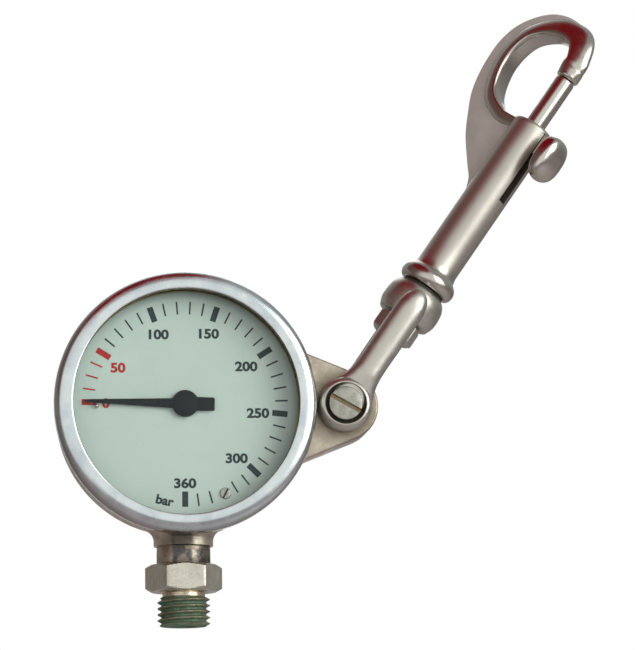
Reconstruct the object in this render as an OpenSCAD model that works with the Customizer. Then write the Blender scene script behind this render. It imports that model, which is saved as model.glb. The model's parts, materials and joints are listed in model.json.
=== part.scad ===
// Submersible pressure gauge with a swivelling bolt snap.
// The origin is on the stem's axis where the full hose thread starts. +Z runs up the stem
// to the dial, and the dial faces -Y. Lengths are in millimetres, angles in degrees.

/* [Case] */
// Outer diameter of the bezel ring
bezel_d = 55.4; // [48:0.2:70]
// Width of the bezel's polished face, from its rim to the window
bezel_face_w = 3.9; // [3:0.1:6]
// Depth of the bezel ring from front to back
bezel_depth = 5.6; // [4.8:0.1:8]
// Depth of the case from its back to the bezel's rear edge
case_depth = 17.4; // [15.6:0.1:24]
// Thickness of the case wall beside the movement
case_wall = 3.3; // [2.6:0.1:5]
// Thickness of the case back
back_wall = 2.4; // [2.2:0.1:4]
// Thickness of the window glass
lens_t = 2.4; // [1.5:0.1:4]
// Length of the stem neck below the case
neck_length = 3; // [2.4:0.1:10]
// Diameter of the stem neck
neck_d = 12.6; // [11.5:0.1:13.6]

/* [Stem] */
// Major diameter of the hose thread (7/16-20 UNF)
thread_d = 11.11; // [9:0.01:14]
// Pitch of the hose thread
thread_pitch = 1.27; // [0.9:0.01:1.6]
// Length of full thread
thread_length = 5.4; // [4:0.1:12]
// Length of the lead-in chamfer below the thread
thread_lead = 0.9; // [0.5:0.1:1.5]
// Width of the hexagon across its flats
hex_af = 14.29; // [12.7:0.01:19]
// Height of the hexagon
hex_h = 6.25; // [4:0.05:10]
// Diameter of the plain land above the hexagon
land_d = 11.4; // [11.3:0.05:12]
// Length of the plain land above the hexagon
land_length = 3.6; // [1:0.1:8]
// Diameter of the bore for the hose's air spool
spool_d = 4.4; // [3:0.1:5]
// Depth of the spool bore from the stem's end
spool_depth = 8; // [5:0.1:8.5]

/* [Dial] */
// Thickness of the dial plate
dial_t = 0.6; // [0.4:0.1:1.2]
// Length of the pointer from its centre to its tip
pointer_length = 21.2; // [14:0.1:21.4]
// Direction of the pointer at zero, anticlockwise from +X
zero_angle = 178.5; // [150:0.5:210]
// Distance of the dial screw from the centre
dial_screw_r = 20.7; // [20.4:0.1:21.2]
// Direction of the dial screw, anticlockwise from +X
dial_screw_angle = -66; // [-80:1:-40]

/* [Movement] */
// Radius of the pressure tube's centre line
tube_r = 18.3; // [17.8:0.1:19]
// Width of the pressure tube's flat section
tube_w = 7; // [5:0.1:7.4]
// Thickness of the pressure tube's flat section
tube_t = 1.8; // [1.2:0.1:2]
// Tooth module of the pinion and sector
gear_module = 0.3; // [0.25:0.01:0.32]
// Number of teeth on the pinion
pinion_teeth = 8; // [8:1:9]
// Number of teeth on the sector's whole circle
sector_teeth = 64; // [58:1:66]
// Gap between the two movement plates
plate_gap = 6; // [5.6:0.1:6.4]
// Distance from the sector's pivot to the link's pin
tail_length = 5; // [4.4:0.1:5.4]

/* [Arm] */
// Gap between the bezel and the eye of the arm
eye_gap = 0.4; // [0.3:0.1:3]
// Outer diameter of the arm's eye
eye_d = 11.6; // [9.6:0.1:13]
// Radius of the lug's rounded end
lug_r = 7.3; // [6:0.1:9]
// Thickness of the lug
lug_t = 10; // [6:0.1:11]
// Diameter of the pivot screw's shank
pivot_d = 4.3; // [3:0.1:5]
// Distance from the pivot to the top of the crown
arm_length = 31; // [25:0.1:40]
// Direction of the arm, anticlockwise from +X
arm_angle = 55.2; // [30:0.1:90]
// Width of each leg
leg_w = 6.4; // [4:0.1:7]
// Thickness of each leg
leg_t = 4.2; // [3:0.1:6]
// Clear width between the two legs
leg_gap = 10.8; // [10.6:0.1:14]
// Diameter of the crown
crown_d = 13; // [11:0.1:15]
// Height of the crown
crown_h = 7.6; // [5:0.1:9]

/* [Snap] */
// Turn of the snap about its own axis
swivel_angle = 43.4; // [0:0.1:60]
// Diameter of the swivel bolt's shank
bolt_d = 4.5; // [3.5:0.1:5]
// Width of the swivel bolt's head across its flats
bolt_af = 8.9; // [7:0.1:9]
// Outer diameter of the snap's collar
collar_d = 12.6; // [11:0.1:14]
// Diameter of the snap's barrel
barrel_d = 9.2; // [7.6:0.1:11]
// Length of the barrel from the crown to its mouth
barrel_length = 43.8; // [38:0.1:55]
// Diameter of the plunger
plunger_d = 4.5; // [3.6:0.05:5]
// Opening of the gate between the barrel's mouth and the hook's tip
gate = 12.5; // [9:0.1:14]
// Travel of the plunger
travel = 12.5; // [9:0.1:14]
// Width of the slot for the thumb knob
slot_w = 2; // [1.4:0.1:2.8]
// Thickness of the hook
hook_t = 5.2; // [3.6:0.1:5.6]
// Thickness of the hook's flat fin
fin_t = 2.6; // [1.6:0.1:3.4]
// Diameter of the thumb knob
knob_d = 9.4; // [7:0.1:11]

/* [Hidden] */

$fn = 48;
fit_gap = 0.05;      // radial clearance of a shaft that turns
seat_gap = 0.1;      // clearance of a piece that is only placed
cut = 1;             // how far a cutting solid runs past a face

// Stem
thread_r = thread_d / 2;
thread_depth = 0.6134 * thread_pitch;
crest_flat = thread_pitch / 8;
root_flat = thread_pitch / 4;
flank = (thread_pitch - crest_flat - root_flat) / 2;
first_crest = 0.25;
groove_count = floor((thread_length - first_crest) / thread_pitch);
relief_length = 1.05;
relief_r = thread_r - thread_depth - 0.25;
hex_z = thread_length + relief_length;
hex_chamfer = 0.9;
land_z = hex_z + hex_h;
neck_z = land_z + land_length;
land_taper = 0.1;
spigot_r = 4.4;
nose_r = 2.5;
nose_length = 3.4;
passage_r = 1;
throttle_r = 1.5;
throttle_length = 3;
throttle_z = spool_depth - thread_lead;
seal_ring_r = 0.5;
seal_groove_r = spigot_r - 2 * seal_ring_r - 0.02;
seal_groove_w = 1.4;
seal_z = neck_z + 2;

// Case, in the dial's own frame: x right, y up, z towards the viewer
bezel_r = bezel_d / 2;
window_r = bezel_r - bezel_face_w;
case_r = bezel_r - 1.2;
rim_r = bezel_r - 2.1;
bezel_z = 7;
face_z = bezel_z + bezel_depth;
lip_t = 1.2;
seal_t = 0.4;
lens_z = face_z - lip_t - lens_t;
rim_z = lens_z - seal_t;
back_z = bezel_z - case_depth;
inside_z = back_z + back_wall;
dial_z = 6;
support_t = 1.6;
support_z = dial_z - support_t;
cavity_r = case_r - case_wall;
upper_r = rim_r - 1.3;
case_corner = 2.2;
dial_y = neck_z + neck_length + case_r;
flare_r = 2.6;

// Dial and pointer
dial_r = upper_r - 0.4;
support_inner_r = tube_r + tube_t / 2 + 0.3;
dial_screw_shank_r = 0.8;
dial_screw_head_r = 1.2;
dial_screw_head_h = 0.4;
screw_slot_w = 0.4;
pointer_z = dial_z + dial_t + 0.8;
pointer_t = 0.5;
pointer_hub_r = 2.85;
pointer_root_w = 2.1;
pointer_tip_w = 0.6;
pointer_tail = 6.2;
pointer_tail_w = 2.9;
stop_r = 0.5;
stop_pos = pointer_length - 2.6;
stop_top = pointer_z + 0.3;
pointer_slope = (pointer_root_w - pointer_tip_w) / 2 / (pointer_length - pointer_hub_r);
pointer_half_at_stop = pointer_tip_w / 2 + (pointer_length - stop_pos) * pointer_slope;
stop_angle = zero_angle + asin((stop_r + pointer_half_at_stop + fit_gap) / stop_pos);
arbor_r = 0.5;

// Movement
pinion_r = gear_module * pinion_teeth / 2;
sector_r = gear_module * sector_teeth / 2;
mesh_gap = 0.06;
sector_y = -(pinion_r + sector_r + mesh_gap);
plate_t = 1;
plate_half_w = 6.5;
plate_top = 5;
plate_low = -15.4;
back_plate_z = -plate_gap / 2 - plate_t;
front_plate_z = plate_gap / 2;
sector_t = 0.8;
pinion_z = -0.6;
pinion_h = 2;
sector_shaft_r = 0.6;
sector_from = 50;
sector_to = 97;
tail_angle = 183;
tail_x = tail_length * cos(tail_angle);
tail_y = sector_y + tail_length * sin(tail_angle);
link_z = sector_t + 0.3;
link_t = 0.6;
link_w = 1.8;
tail_pin_r = 0.45;
link_screw_r = 0.4;
tube_from = -76;
tube_to = 215;
tube_wall = 0.35;
tip_cap = 1.6;
tip_tab_t = 1.6;
tip_tab_low = 12.6;
tip_tab_length = 5.4;
tip_hole_r = 15.2;
tip_hole_s = 1.7;
tip_slot_w = 1.9;
link_x = tip_hole_r * cos(tube_to) - tip_hole_s * sin(tube_to);
link_y = tip_hole_r * sin(tube_to) + tip_hole_s * cos(tube_to);
pillar_r = 1.1;
pillar_spigot_r = 0.7;
pillar_side = [5.2, 3];
pillar_foot = [4.9, -10.8];
block_half_w = 6.5;
block_low = -(cavity_r - 1.2);
block_top = -15.5;
block_front = 3.6;
ledge_top = -12.6;
plate_screw_x = 4.7;
plate_screw_y = -13.8;
plate_screw_r = 0.7;
plate_screw_head_r = 1.2;
plate_screw_head_h = 0.8;
plate_screw_depth = 2.4;
block_screw_x = 4.3;
block_screw_y = block_low + 3.4;
block_screw_r = 1.25;
block_screw_head_r = 2.3;
block_screw_head_h = 1.3;
block_screw_depth = 4.2;
spiral_z = 1.8;
spiral_h = 0.7;
spiral_from = 0.9;
spiral_to = 3.2;
spiral_turns = 4;
spiral_t = 0.16;

// Relief plug in the case back
plug_pos = [0, 11.5];
plug_r = 3;
plug_flange_r = 4;
plug_flange_t = 0.8;
plug_seal_t = 0.3;

// Arm, in its own frame: z along the arm from the pivot, x to its right, y away from the viewer
eye_r = eye_d / 2;
pivot_x = bezel_r + eye_gap + eye_r;
pivot_r = pivot_d / 2;
pivot_head_r = pivot_r + 1.3;
pivot_recess_r = pivot_head_r + 1;
pivot_recess = 1.6;
pivot_head_h = 1.2;
pivot_slot_w = 0.8;
pivot_slot_angle = -29;
leg_in = leg_gap / 2;
leg_out = leg_in + leg_t;
crown_r = crown_d / 2;
crown_low = arm_length - crown_h;
crown_bulge = 0.7;
lug_slope = 22;
washer_t = 0.4;
washer_r = 4.8;

// Snap, in its own frame: z along the barrel from the crown's top, x to the knob's side
bolt_r = bolt_d / 2;
bolt_head_h = 4.2;
bolt_head_gap = 0.4;
bolt_depth = 9.5;
collar_z = 0.55;
collar_h = 4.4;
barrel_r = barrel_d / 2;
plunger_r = plunger_d / 2;
bore_r = plunger_r + fit_gap;
tip_z = barrel_length + gate;
tip_gap = 0.15;
slot_top = barrel_length - 0.8;
blade_length = 4.9;
blade_t = slot_w - 0.3;
blade_gap = 0.2;
blade_top = slot_top - blade_gap;
blade_low = blade_top - blade_length;
slot_low = blade_low - travel - blade_gap;
spring_r = 0.3;
spring_turns = 9;
plunger_tail = blade_low - 10.2;
chamber_z = plunger_tail - travel - 2.4;
spring_low = chamber_z + spring_r + fit_gap;
spring_top = plunger_tail - spring_r - fit_gap;
knob_x = barrel_r + 3.1;
knob_h = 3.4;
knob_z = blade_low + 0.5;
hook_x = -9.3;
hook_half_w = 12.3;
hook_z = barrel_length + 12;
hook_top = 14;
hook_low = 15.5;
eye_x = -8.9;
eye_half_w = 6.9;
eye_top = 8;
eye_low = 11;
eye_corner = [-5, barrel_length + 16.8];
eye_corner_r = 3.3;
tip_r = 3;

module at_dial() {
    translate([0, 0, dial_y]) rotate([90, 0, 0]) children();
}

module at_arm() {
    translate([pivot_x, 0, dial_y]) rotate([0, 90 - arm_angle, 0]) children();
}

module at_snap() {
    at_arm() translate([0, 0, arm_length]) rotate([0, 0, -swivel_angle]) children();
}

module tube_ring(r_out, r_in, h) {
    difference() {
        cylinder(r = r_out, h = h);
        translate([0, 0, -cut]) cylinder(r = r_in, h = h + 2 * cut);
    }
}

// Points of an arc in the plane
function arc(c, r, from, to, steps = 6) =
    [for (i = [0:steps]) let (a = from + (to - from) * i / steps) c + r * [cos(a), sin(a)]];

// An egg whose upper and lower halves have their own heights
function egg(c, half_w, top, low, steps = 48) =
    [for (i = [0:steps - 1]) let (a = 360 * i / steps)
        c + [half_w * cos(a), (sin(a) > 0 ? top : low) * sin(a)]];

module screw_slot(head_r, width, depth) {
    translate([-head_r - cut, -width / 2, -depth]) cube([2 * (head_r + cut), width, depth + cut]);
}

// ---------------------------------------------------------------- case

module case_shell() {
    rotate_extrude($fn = 96)
        polygon(concat(
            [[0, back_z]],
            arc([case_r - case_corner, back_z + case_corner], case_corner, -90, 0),
            [[case_r, bezel_z], [rim_r, bezel_z], [rim_r, rim_z], [0, rim_z]]));
}

module lug_blank() {
    tangent = lug_r * [sin(lug_slope), cos(lug_slope)];
    root_x = cavity_r - 1;
    root_y = tangent[1] + (pivot_x + tangent[0] - root_x) * tan(lug_slope);
    translate([0, 0, -lug_t / 2]) linear_extrude(lug_t)
        polygon([[root_x, -root_y], [pivot_x + tangent[0], -tangent[1]],
            [pivot_x + tangent[0], tangent[1]], [root_x, root_y]]);
    translate([pivot_x, 0, -lug_t / 2]) cylinder(r = lug_r, h = lug_t, $fn = 72);
}

module neck_blank() {
    neck_r = neck_d / 2;
    flare_z = dial_y - case_r - 0.6;
    intersection() {
        rotate_extrude($fn = 72)
            polygon(concat(
                [[0, neck_z]],
                [[neck_r, neck_z]],
                arc([neck_r + flare_r, flare_z - 1.4], flare_r, 180, 100),
                [[neck_r + flare_r, dial_y - cavity_r], [0, dial_y - cavity_r]]));
        translate([-bezel_r, -bezel_z + seat_gap, 0]) cube([2 * bezel_r, 2 * bezel_z, dial_y]);
    }
}

module case_body() {
    color("Silver") difference() {
        union() {
            at_dial() case_shell();
            at_dial() lug_blank();
            neck_blank();
        }
        at_dial() {
            translate([0, 0, inside_z]) cylinder(r = cavity_r, h = 40, $fn = 96);
            translate([0, 0, support_z]) cylinder(r = upper_r, h = 40, $fn = 96);
            translate([pivot_x, 0, -lug_t]) cylinder(r = pivot_r + fit_gap, h = 2 * lug_t);
            for (side = [-1, 1]) translate([side * block_screw_x, block_screw_y, back_z - cut]) {
                cylinder(r = block_screw_r + seat_gap, h = back_wall + 2 * cut);
                cylinder(r = block_screw_head_r + seat_gap, h = block_screw_head_h + cut);
            }
            translate([plug_pos[0], plug_pos[1], back_z - cut]) {
                cylinder(r = plug_r + fit_gap, h = back_wall + 2 * cut);
                cylinder(r = plug_flange_r + seat_gap, h = plug_flange_t + plug_seal_t + cut);
            }
        }
        translate([0, 0, neck_z - cut]) cylinder(r = spigot_r + fit_gap, h = neck_length + case_wall + 4);
    }
}

module bezel_ring() {
    skirt_r = rim_r + seat_gap;
    color("Gainsboro") at_dial() rotate_extrude($fn = 96)
        polygon(concat(
            [[skirt_r, bezel_z]],
            arc([bezel_r - 0.5, bezel_z + 0.5], 0.5, -90, 0, 3),
            arc([bezel_r - 2.2, face_z - 2.2], 2.2, 0, 90, 8),
            arc([window_r + 0.6, face_z - 0.6], 0.6, 90, 180, 4),
            [[window_r, face_z - lip_t], [skirt_r, face_z - lip_t]]));
}

module lens() {
    color("LightCyan", 0.35) at_dial() translate([0, 0, lens_z])
        cylinder(r = rim_r, h = lens_t, $fn = 96);
}

module lens_seal() {
    color("DimGray") at_dial() translate([0, 0, rim_z])
        tube_ring(rim_r - seat_gap, upper_r + seat_gap, seal_t, $fn = 96);
}

// ---------------------------------------------------------------- dial and pointer

module dial_support() {
    color("Goldenrod") at_dial() difference() {
        translate([0, 0, support_z])
            tube_ring(upper_r - seat_gap, support_inner_r, support_t, $fn = 96);
        rotate([0, 0, dial_screw_angle]) translate([dial_screw_r, 0, 0])
            cylinder(r = dial_screw_shank_r, h = 20);
    }
}

module dial_plate() {
    color("HoneyDew") at_dial() difference() {
        translate([0, 0, dial_z]) tube_ring(dial_r, arbor_r + 0.8, dial_t, $fn = 96);
        rotate([0, 0, dial_screw_angle]) translate([dial_screw_r, 0, 0])
            cylinder(r = dial_screw_shank_r, h = 20);
        rotate([0, 0, stop_angle]) translate([stop_pos, 0, 0]) cylinder(r = stop_r, h = 20);
    }
}

module dial_screw() {
    head_z = dial_z + dial_t;
    color("Silver") at_dial() rotate([0, 0, dial_screw_angle]) translate([dial_screw_r, 0, 0])
        difference() {
            union() {
                translate([0, 0, support_z]) cylinder(r = dial_screw_shank_r, h = head_z - support_z);
                translate([0, 0, head_z]) cylinder(r = dial_screw_head_r, h = dial_screw_head_h);
            }
            translate([0, 0, head_z + dial_screw_head_h]) screw_slot(dial_screw_head_r, screw_slot_w, 0.2);
        }
}

module stop_pin() {
    color("Silver") at_dial() rotate([0, 0, stop_angle]) translate([stop_pos, 0, dial_z])
        cylinder(r = stop_r, h = stop_top - dial_z);
}

module pointer() {
    color("DarkSlateGray") at_dial() rotate([0, 0, zero_angle]) translate([0, 0, pointer_z])
        difference() {
            union() {
                linear_extrude(pointer_t) polygon([
                    [-pointer_tail, -pointer_tail_w / 2],
                    [-pointer_hub_r / 2, -pointer_tail_w / 2],
                    [pointer_hub_r, -pointer_root_w / 2],
                    [pointer_length, -pointer_tip_w / 2],
                    [pointer_length, pointer_tip_w / 2],
                    [pointer_hub_r, pointer_root_w / 2],
                    [-pointer_hub_r / 2, pointer_tail_w / 2],
                    [-pointer_tail, pointer_tail_w / 2]]);
                cylinder(r = pointer_hub_r, h = pointer_t + 0.2);
            }
            translate([0, 0, -cut]) cylinder(r = arbor_r, h = cut + pointer_t);
        }
}

// ---------------------------------------------------------------- movement

module gear_outline(teeth, from, to, root_r) {
    pitch_r = gear_module * teeth / 2;
    step = 360 / teeth;
    tip = pitch_r + 0.8 * gear_module;
    foot = pitch_r - gear_module;
    tooth = [for (k = [ceil(from / step):floor(to / step)]) each [
        foot * [cos((k - 0.3) * step), sin((k - 0.3) * step)],
        pitch_r * [cos((k - 0.22) * step), sin((k - 0.22) * step)],
        tip * [cos((k - 0.1) * step), sin((k - 0.1) * step)],
        tip * [cos((k + 0.1) * step), sin((k + 0.1) * step)],
        pitch_r * [cos((k + 0.22) * step), sin((k + 0.22) * step)],
        foot * [cos((k + 0.3) * step), sin((k + 0.3) * step)]]];
    polygon(root_r > 0 ? concat([[0, 0]], tooth) : tooth);
}

module pinion_arbor() {
    color("Khaki") at_dial() {
        translate([0, 0, back_plate_z + 0.1])
            cylinder(r = arbor_r, h = pointer_z + pointer_t - back_plate_z - 0.1);
        translate([0, 0, pinion_z]) linear_extrude(pinion_h)
            gear_outline(pinion_teeth, 0, 359.9, 0);
    }
}

module hairspring() {
    spiral = function (i, side) let (a = 360 * i / 16,
        r = spiral_from + (spiral_to - spiral_from) * i / (16 * spiral_turns) + side * spiral_t / 2)
        r * [cos(a), sin(a)];
    count = 16 * spiral_turns;
    color("SteelBlue") at_dial() translate([0, 0, spiral_z]) {
        tube_ring(spiral_from + 0.05, arbor_r, spiral_h);
        linear_extrude(spiral_h) polygon(concat(
            [for (i = [0:count]) spiral(i, 1)],
            [for (i = [count:-1:0]) spiral(i, -1)]));
    }
}

// The sector's tooth gaps line up with the pinion's lowest tooth
module sector_gear() {
    phase = 90 + 180 / sector_teeth;
    color("Khaki") at_dial() translate([0, sector_y, 0]) difference() {
        union() {
            linear_extrude(sector_t) rotate([0, 0, phase])
                gear_outline(sector_teeth, sector_from - 90, sector_to - 90, 1);
            cylinder(r = 1.6, h = sector_t);
            rotate([0, 0, tail_angle]) {
                translate([0, -0.9, 0]) cube([tail_length, 1.8, sector_t]);
                translate([tail_length, 0, 0]) cylinder(r = 0.9, h = sector_t);
            }
        }
        translate([0, 0, -cut]) cylinder(r = sector_shaft_r, h = 2 * cut + sector_t);
        translate([tail_x, tail_y - sector_y, -cut]) cylinder(r = tail_pin_r, h = 2 * cut + sector_t);
    }
}

module sector_shaft() {
    color("LightSteelBlue") at_dial() translate([0, sector_y, back_plate_z + 0.1])
        cylinder(r = sector_shaft_r, h = plate_gap + 2 * plate_t - 0.2);
}

module tail_pin() {
    color("LightSteelBlue") at_dial() translate([tail_x, tail_y, 0]) {
        cylinder(r = tail_pin_r, h = link_z + link_t + 0.1);
        translate([0, 0, link_z + link_t + 0.1]) cylinder(r = tail_pin_r + 0.35, h = 0.3);
    }
}

module link() {
    dx = link_x - tail_x;
    dy = link_y - tail_y;
    color("Goldenrod") at_dial() translate([tail_x, tail_y, link_z]) rotate([0, 0, atan2(dy, dx)])
        difference() {
            union() {
                translate([0, -0.5, 0]) cube([norm([dx, dy]), 1, link_t]);
                for (x = [0, norm([dx, dy])]) translate([x, 0, 0]) cylinder(r = link_w / 2, h = link_t);
            }
            translate([0, 0, -cut]) cylinder(r = tail_pin_r + fit_gap, h = 2 * cut + link_t);
            translate([norm([dx, dy]), 0, -cut]) cylinder(r = link_screw_r, h = 2 * cut + link_t);
        }
}

module link_screw() {
    shank_z = -tip_tab_t / 2 - 0.5;
    head_z = link_z + link_t;
    color("LightSteelBlue") at_dial() translate([link_x, link_y, 0]) difference() {
        union() {
            translate([0, 0, shank_z]) cylinder(r = link_screw_r, h = head_z - shank_z);
            translate([0, 0, head_z]) cylinder(r = 0.85, h = 0.5);
        }
        translate([0, 0, head_z + 0.5]) screw_slot(0.85, 0.25, 0.2);
    }
}

module tube_section(inset) {
    half_w = tube_w / 2 - inset;
    half_t = tube_t / 2 - inset;
    translate([tube_r, 0]) {
        square([2 * half_t, 2 * (half_w - half_t)], center = true);
        for (side = [-1, 1]) translate([0, side * (half_w - half_t)]) circle(r = half_t, $fn = 24);
    }
}

module tube_run(inset) {
    rotate([0, 0, tube_from]) rotate_extrude(angle = tube_to - tube_from, $fn = 96)
        tube_section(inset);
}

module pressure_tube() {
    color("Peru") at_dial() difference() {
        tube_run(0);
        tube_run(tube_wall);
    }
}

// The tab's slanted slot keeps clear of the link's screw as the linkage moves
module tube_tip() {
    half_t = tube_t / 2 + 0.3;
    color("Goldenrod") at_dial() rotate([0, 0, tube_to]) difference() {
        union() {
            translate([tube_r - half_t, 0, -tube_w / 2 - 0.3]) cube([2 * half_t, tip_cap, tube_w + 0.6]);
            translate([tip_tab_low, 0.1, -tip_tab_t / 2])
                cube([tube_r - half_t - tip_tab_low + 0.5, tip_cap - 0.1, tip_tab_t]);
            translate([tip_tab_low, 0.1, -tip_tab_t / 2])
                cube([4.4, tip_tab_length - 0.1, tip_tab_t]);
        }
        for (k = [0:4]) translate([tip_hole_r - 0.21 * k, tip_hole_s + 0.4 * k, -5])
            cylinder(r = tip_slot_w / 2, h = 10, $fn = 24);
    }
}

module socket_block() {
    color("Goldenrod") at_dial() difference() {
        union() {
            translate([-block_half_w, block_low, inside_z])
                cube([2 * block_half_w, block_top - block_low, block_front - inside_z]);
            translate([-block_half_w, block_low, inside_z])
                cube([2 * block_half_w, ledge_top - block_low, back_plate_z - inside_z]);
        }
        tube_run(0);
        rotate([-90, 0, 0]) translate([0, 0, block_low - cut]) {
            cylinder(r = nose_r, h = nose_length + cut);
            cylinder(r = passage_r, h = nose_length + cut + 1.2);
        }
        for (side = [-1, 1]) {
            translate([side * plate_screw_x, plate_screw_y, back_plate_z - plate_screw_depth])
                cylinder(r = plate_screw_r, h = plate_screw_depth + cut);
            translate([side * block_screw_x, block_screw_y, inside_z - cut])
                cylinder(r = block_screw_r, h = block_screw_depth + cut);
        }
    }
}

module plate_blank(z) {
    difference() {
        translate([-plate_half_w, plate_low, z])
            cube([2 * plate_half_w, plate_top - plate_low, plate_t]);
        translate([0, 0, z - cut]) cylinder(r = arbor_r + fit_gap, h = plate_t + 2 * cut);
        translate([0, sector_y, z - cut])
            cylinder(r = sector_shaft_r + fit_gap, h = plate_t + 2 * cut);
        for (side = [-1, 1]) translate([side * pillar_side[0], pillar_side[1], z - cut])
            cylinder(r = pillar_spigot_r, h = plate_t + 2 * cut);
        translate([pillar_foot[0], pillar_foot[1], z - cut])
            cylinder(r = pillar_spigot_r, h = plate_t + 2 * cut);
    }
}

module back_plate() {
    color("DarkKhaki") at_dial() difference() {
        plate_blank(back_plate_z);
        for (side = [-1, 1]) translate([side * plate_screw_x, plate_screw_y, back_plate_z - cut])
            cylinder(r = plate_screw_r, h = plate_t + 2 * cut);
    }
}

module front_plate() {
    color("DarkKhaki") at_dial() difference() {
        plate_blank(front_plate_z);
        for (side = [-1, 1]) translate([side * plate_screw_x, plate_screw_y, front_plate_z - cut])
            cylinder(r = plate_screw_head_r + 0.3, h = plate_t + 2 * cut);
    }
}

module pillar(x, y) {
    color("Goldenrod") at_dial() translate([x, y, 0]) {
        translate([0, 0, -plate_gap / 2]) cylinder(r = pillar_r, h = plate_gap);
        translate([0, 0, back_plate_z]) cylinder(r = pillar_spigot_r, h = plate_gap + 2 * plate_t);
    }
}

module pillar_left() {
    pillar(-pillar_side[0], pillar_side[1]);
}

module pillar_right() {
    pillar(pillar_side[0], pillar_side[1]);
}

module pillar_low() {
    pillar(pillar_foot[0], pillar_foot[1]);
}

module plate_screw(side) {
    head_z = back_plate_z + plate_t;
    color("LightSteelBlue") at_dial() translate([side * plate_screw_x, plate_screw_y, 0]) difference() {
        union() {
            translate([0, 0, back_plate_z - plate_screw_depth])
                cylinder(r = plate_screw_r, h = plate_screw_depth + plate_t);
            translate([0, 0, head_z]) cylinder(r = plate_screw_head_r, h = plate_screw_head_h);
        }
        translate([0, 0, head_z + plate_screw_head_h]) screw_slot(plate_screw_head_r, 0.35, 0.4);
    }
}

module plate_screw_left() {
    plate_screw(-1);
}

module plate_screw_right() {
    plate_screw(1);
}

module block_screw(side) {
    color("LightSteelBlue") at_dial() translate([side * block_screw_x, block_screw_y, 0]) difference() {
        union() {
            translate([0, 0, back_z]) cylinder(r = block_screw_head_r, h = block_screw_head_h);
            translate([0, 0, back_z])
                cylinder(r = block_screw_r, h = back_wall + block_screw_depth);
        }
        translate([0, 0, back_z]) rotate([0, 180, 0]) screw_slot(block_screw_head_r, 0.6, 0.6);
    }
}

module block_screw_left() {
    block_screw(-1);
}

module block_screw_right() {
    block_screw(1);
}

// ---------------------------------------------------------------- stem

module stem_blank() {
    root_r = thread_r - thread_depth;
    rotate_extrude($fn = 72) polygon(concat(
        [[0, -thread_lead], [thread_r - thread_lead, -thread_lead], [thread_r, 0]],
        [for (k = [0:groove_count - 1]) let (z = first_crest + k * thread_pitch) each [
            [thread_r, z], [root_r, z + flank], [root_r, z + flank + root_flat],
            [thread_r, z + 2 * flank + root_flat]]],
        [[thread_r, thread_length], [relief_r, thread_length + 0.4], [relief_r, hex_z + 0.1],
            [0, hex_z + 0.1]]));
    intersection() {
        translate([0, 0, hex_z]) cylinder(r = hex_af / 2 / cos(30), h = hex_h, $fn = 6);
        rotate_extrude($fn = 96) polygon([
            [0, hex_z], [hex_af / 2 - 0.3, hex_z], [hex_af / 2 + 1.7 * hex_chamfer, hex_z + hex_chamfer + 0.15],
            [hex_af / 2 + 1.7 * hex_chamfer, land_z - hex_chamfer], [hex_af / 2, land_z], [0, land_z]]);
    }
    translate([0, 0, land_z - 0.1]) cylinder(r1 = land_d / 2, r2 = land_d / 2 - land_taper, h = land_length + 0.1);
    translate([0, 0, neck_z - 0.1]) cylinder(r = spigot_r, h = dial_y + block_low - neck_z + 0.1);
    translate([0, 0, dial_y + block_low - 0.1]) cylinder(r = nose_r, h = nose_length + 0.1);
}

module connection_stem() {
    color("Silver") difference() {
        stem_blank();
        translate([0, 0, -thread_lead - cut]) {
            cylinder(r = spool_d / 2, h = spool_depth + cut);
            cylinder(r = throttle_r, h = spool_depth + cut + throttle_length);
            cylinder(r = passage_r, h = dial_y);
        }
        translate([0, 0, seal_z]) tube_ring(spigot_r + cut, seal_groove_r, seal_groove_w);
    }
}

module throttle_screw() {
    color("Goldenrod") translate([0, 0, throttle_z]) difference() {
        cylinder(r = throttle_r, h = throttle_length);
        translate([0, 0, -cut]) cylinder(r = 0.3, h = throttle_length + 2 * cut);
        rotate([0, 180, 0]) screw_slot(throttle_r, 0.5, 0.7);
    }
}

module stem_seal() {
    color("DimGray") translate([0, 0, seal_z + seal_groove_w / 2])
        rotate_extrude() translate([seal_groove_r + seal_ring_r + 0.01, 0]) circle(r = seal_ring_r, $fn = 24);
}

module relief_plug() {
    color("DimGray") at_dial() translate([plug_pos[0], plug_pos[1], back_z]) {
        cylinder(r = plug_flange_r, h = plug_flange_t);
        cylinder(r = plug_r, h = back_wall);
    }
}

module relief_seal() {
    color("Black") at_dial() translate([plug_pos[0], plug_pos[1], back_z + plug_flange_t])
        tube_ring(plug_flange_r, plug_r + fit_gap, plug_seal_t);
}

// ---------------------------------------------------------------- arm

module fork() {
    color("Silver") at_arm() difference() {
        union() {
            for (side = [-1, 1]) {
                translate([0, side * (leg_in + leg_t / 2), 0]) rotate([90, 0, 0])
                    cylinder(r = eye_r, h = leg_t, center = true, $fn = 72);
                translate([-leg_w / 2, side * (leg_in + leg_t / 2) - leg_t / 2, 0])
                    cube([leg_w, leg_t, arm_length - 1.6 - leg_w / 2]);
                translate([0, side * (leg_in + leg_t / 2), arm_length - 1.6 - leg_w / 2])
                    rotate([90, 0, 0]) cylinder(r = leg_w / 2, h = leg_t, center = true);
            }
            rotate_extrude($fn = 72) polygon(concat(
                [[0, crown_low]],
                arc([crown_r - crown_bulge - 1, crown_low + 1], 1, -90, 0, 4),
                [[crown_r, crown_low + crown_h / 2]],
                arc([crown_r - crown_bulge - 1.4, arm_length - 1.4], 1.4, 0, 90, 4),
                [[0, arm_length]]));
        }
        translate([0, 0, crown_low - cut]) cylinder(r = bolt_r + fit_gap, h = crown_h + 2 * cut);
        rotate([90, 0, 0]) cylinder(r = pivot_r, h = 4 * leg_out, center = true);
        translate([0, -leg_out + pivot_recess, 0]) rotate([90, 0, 0])
            cylinder(r = pivot_recess_r, h = pivot_recess + cut);
    }
}

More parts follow.
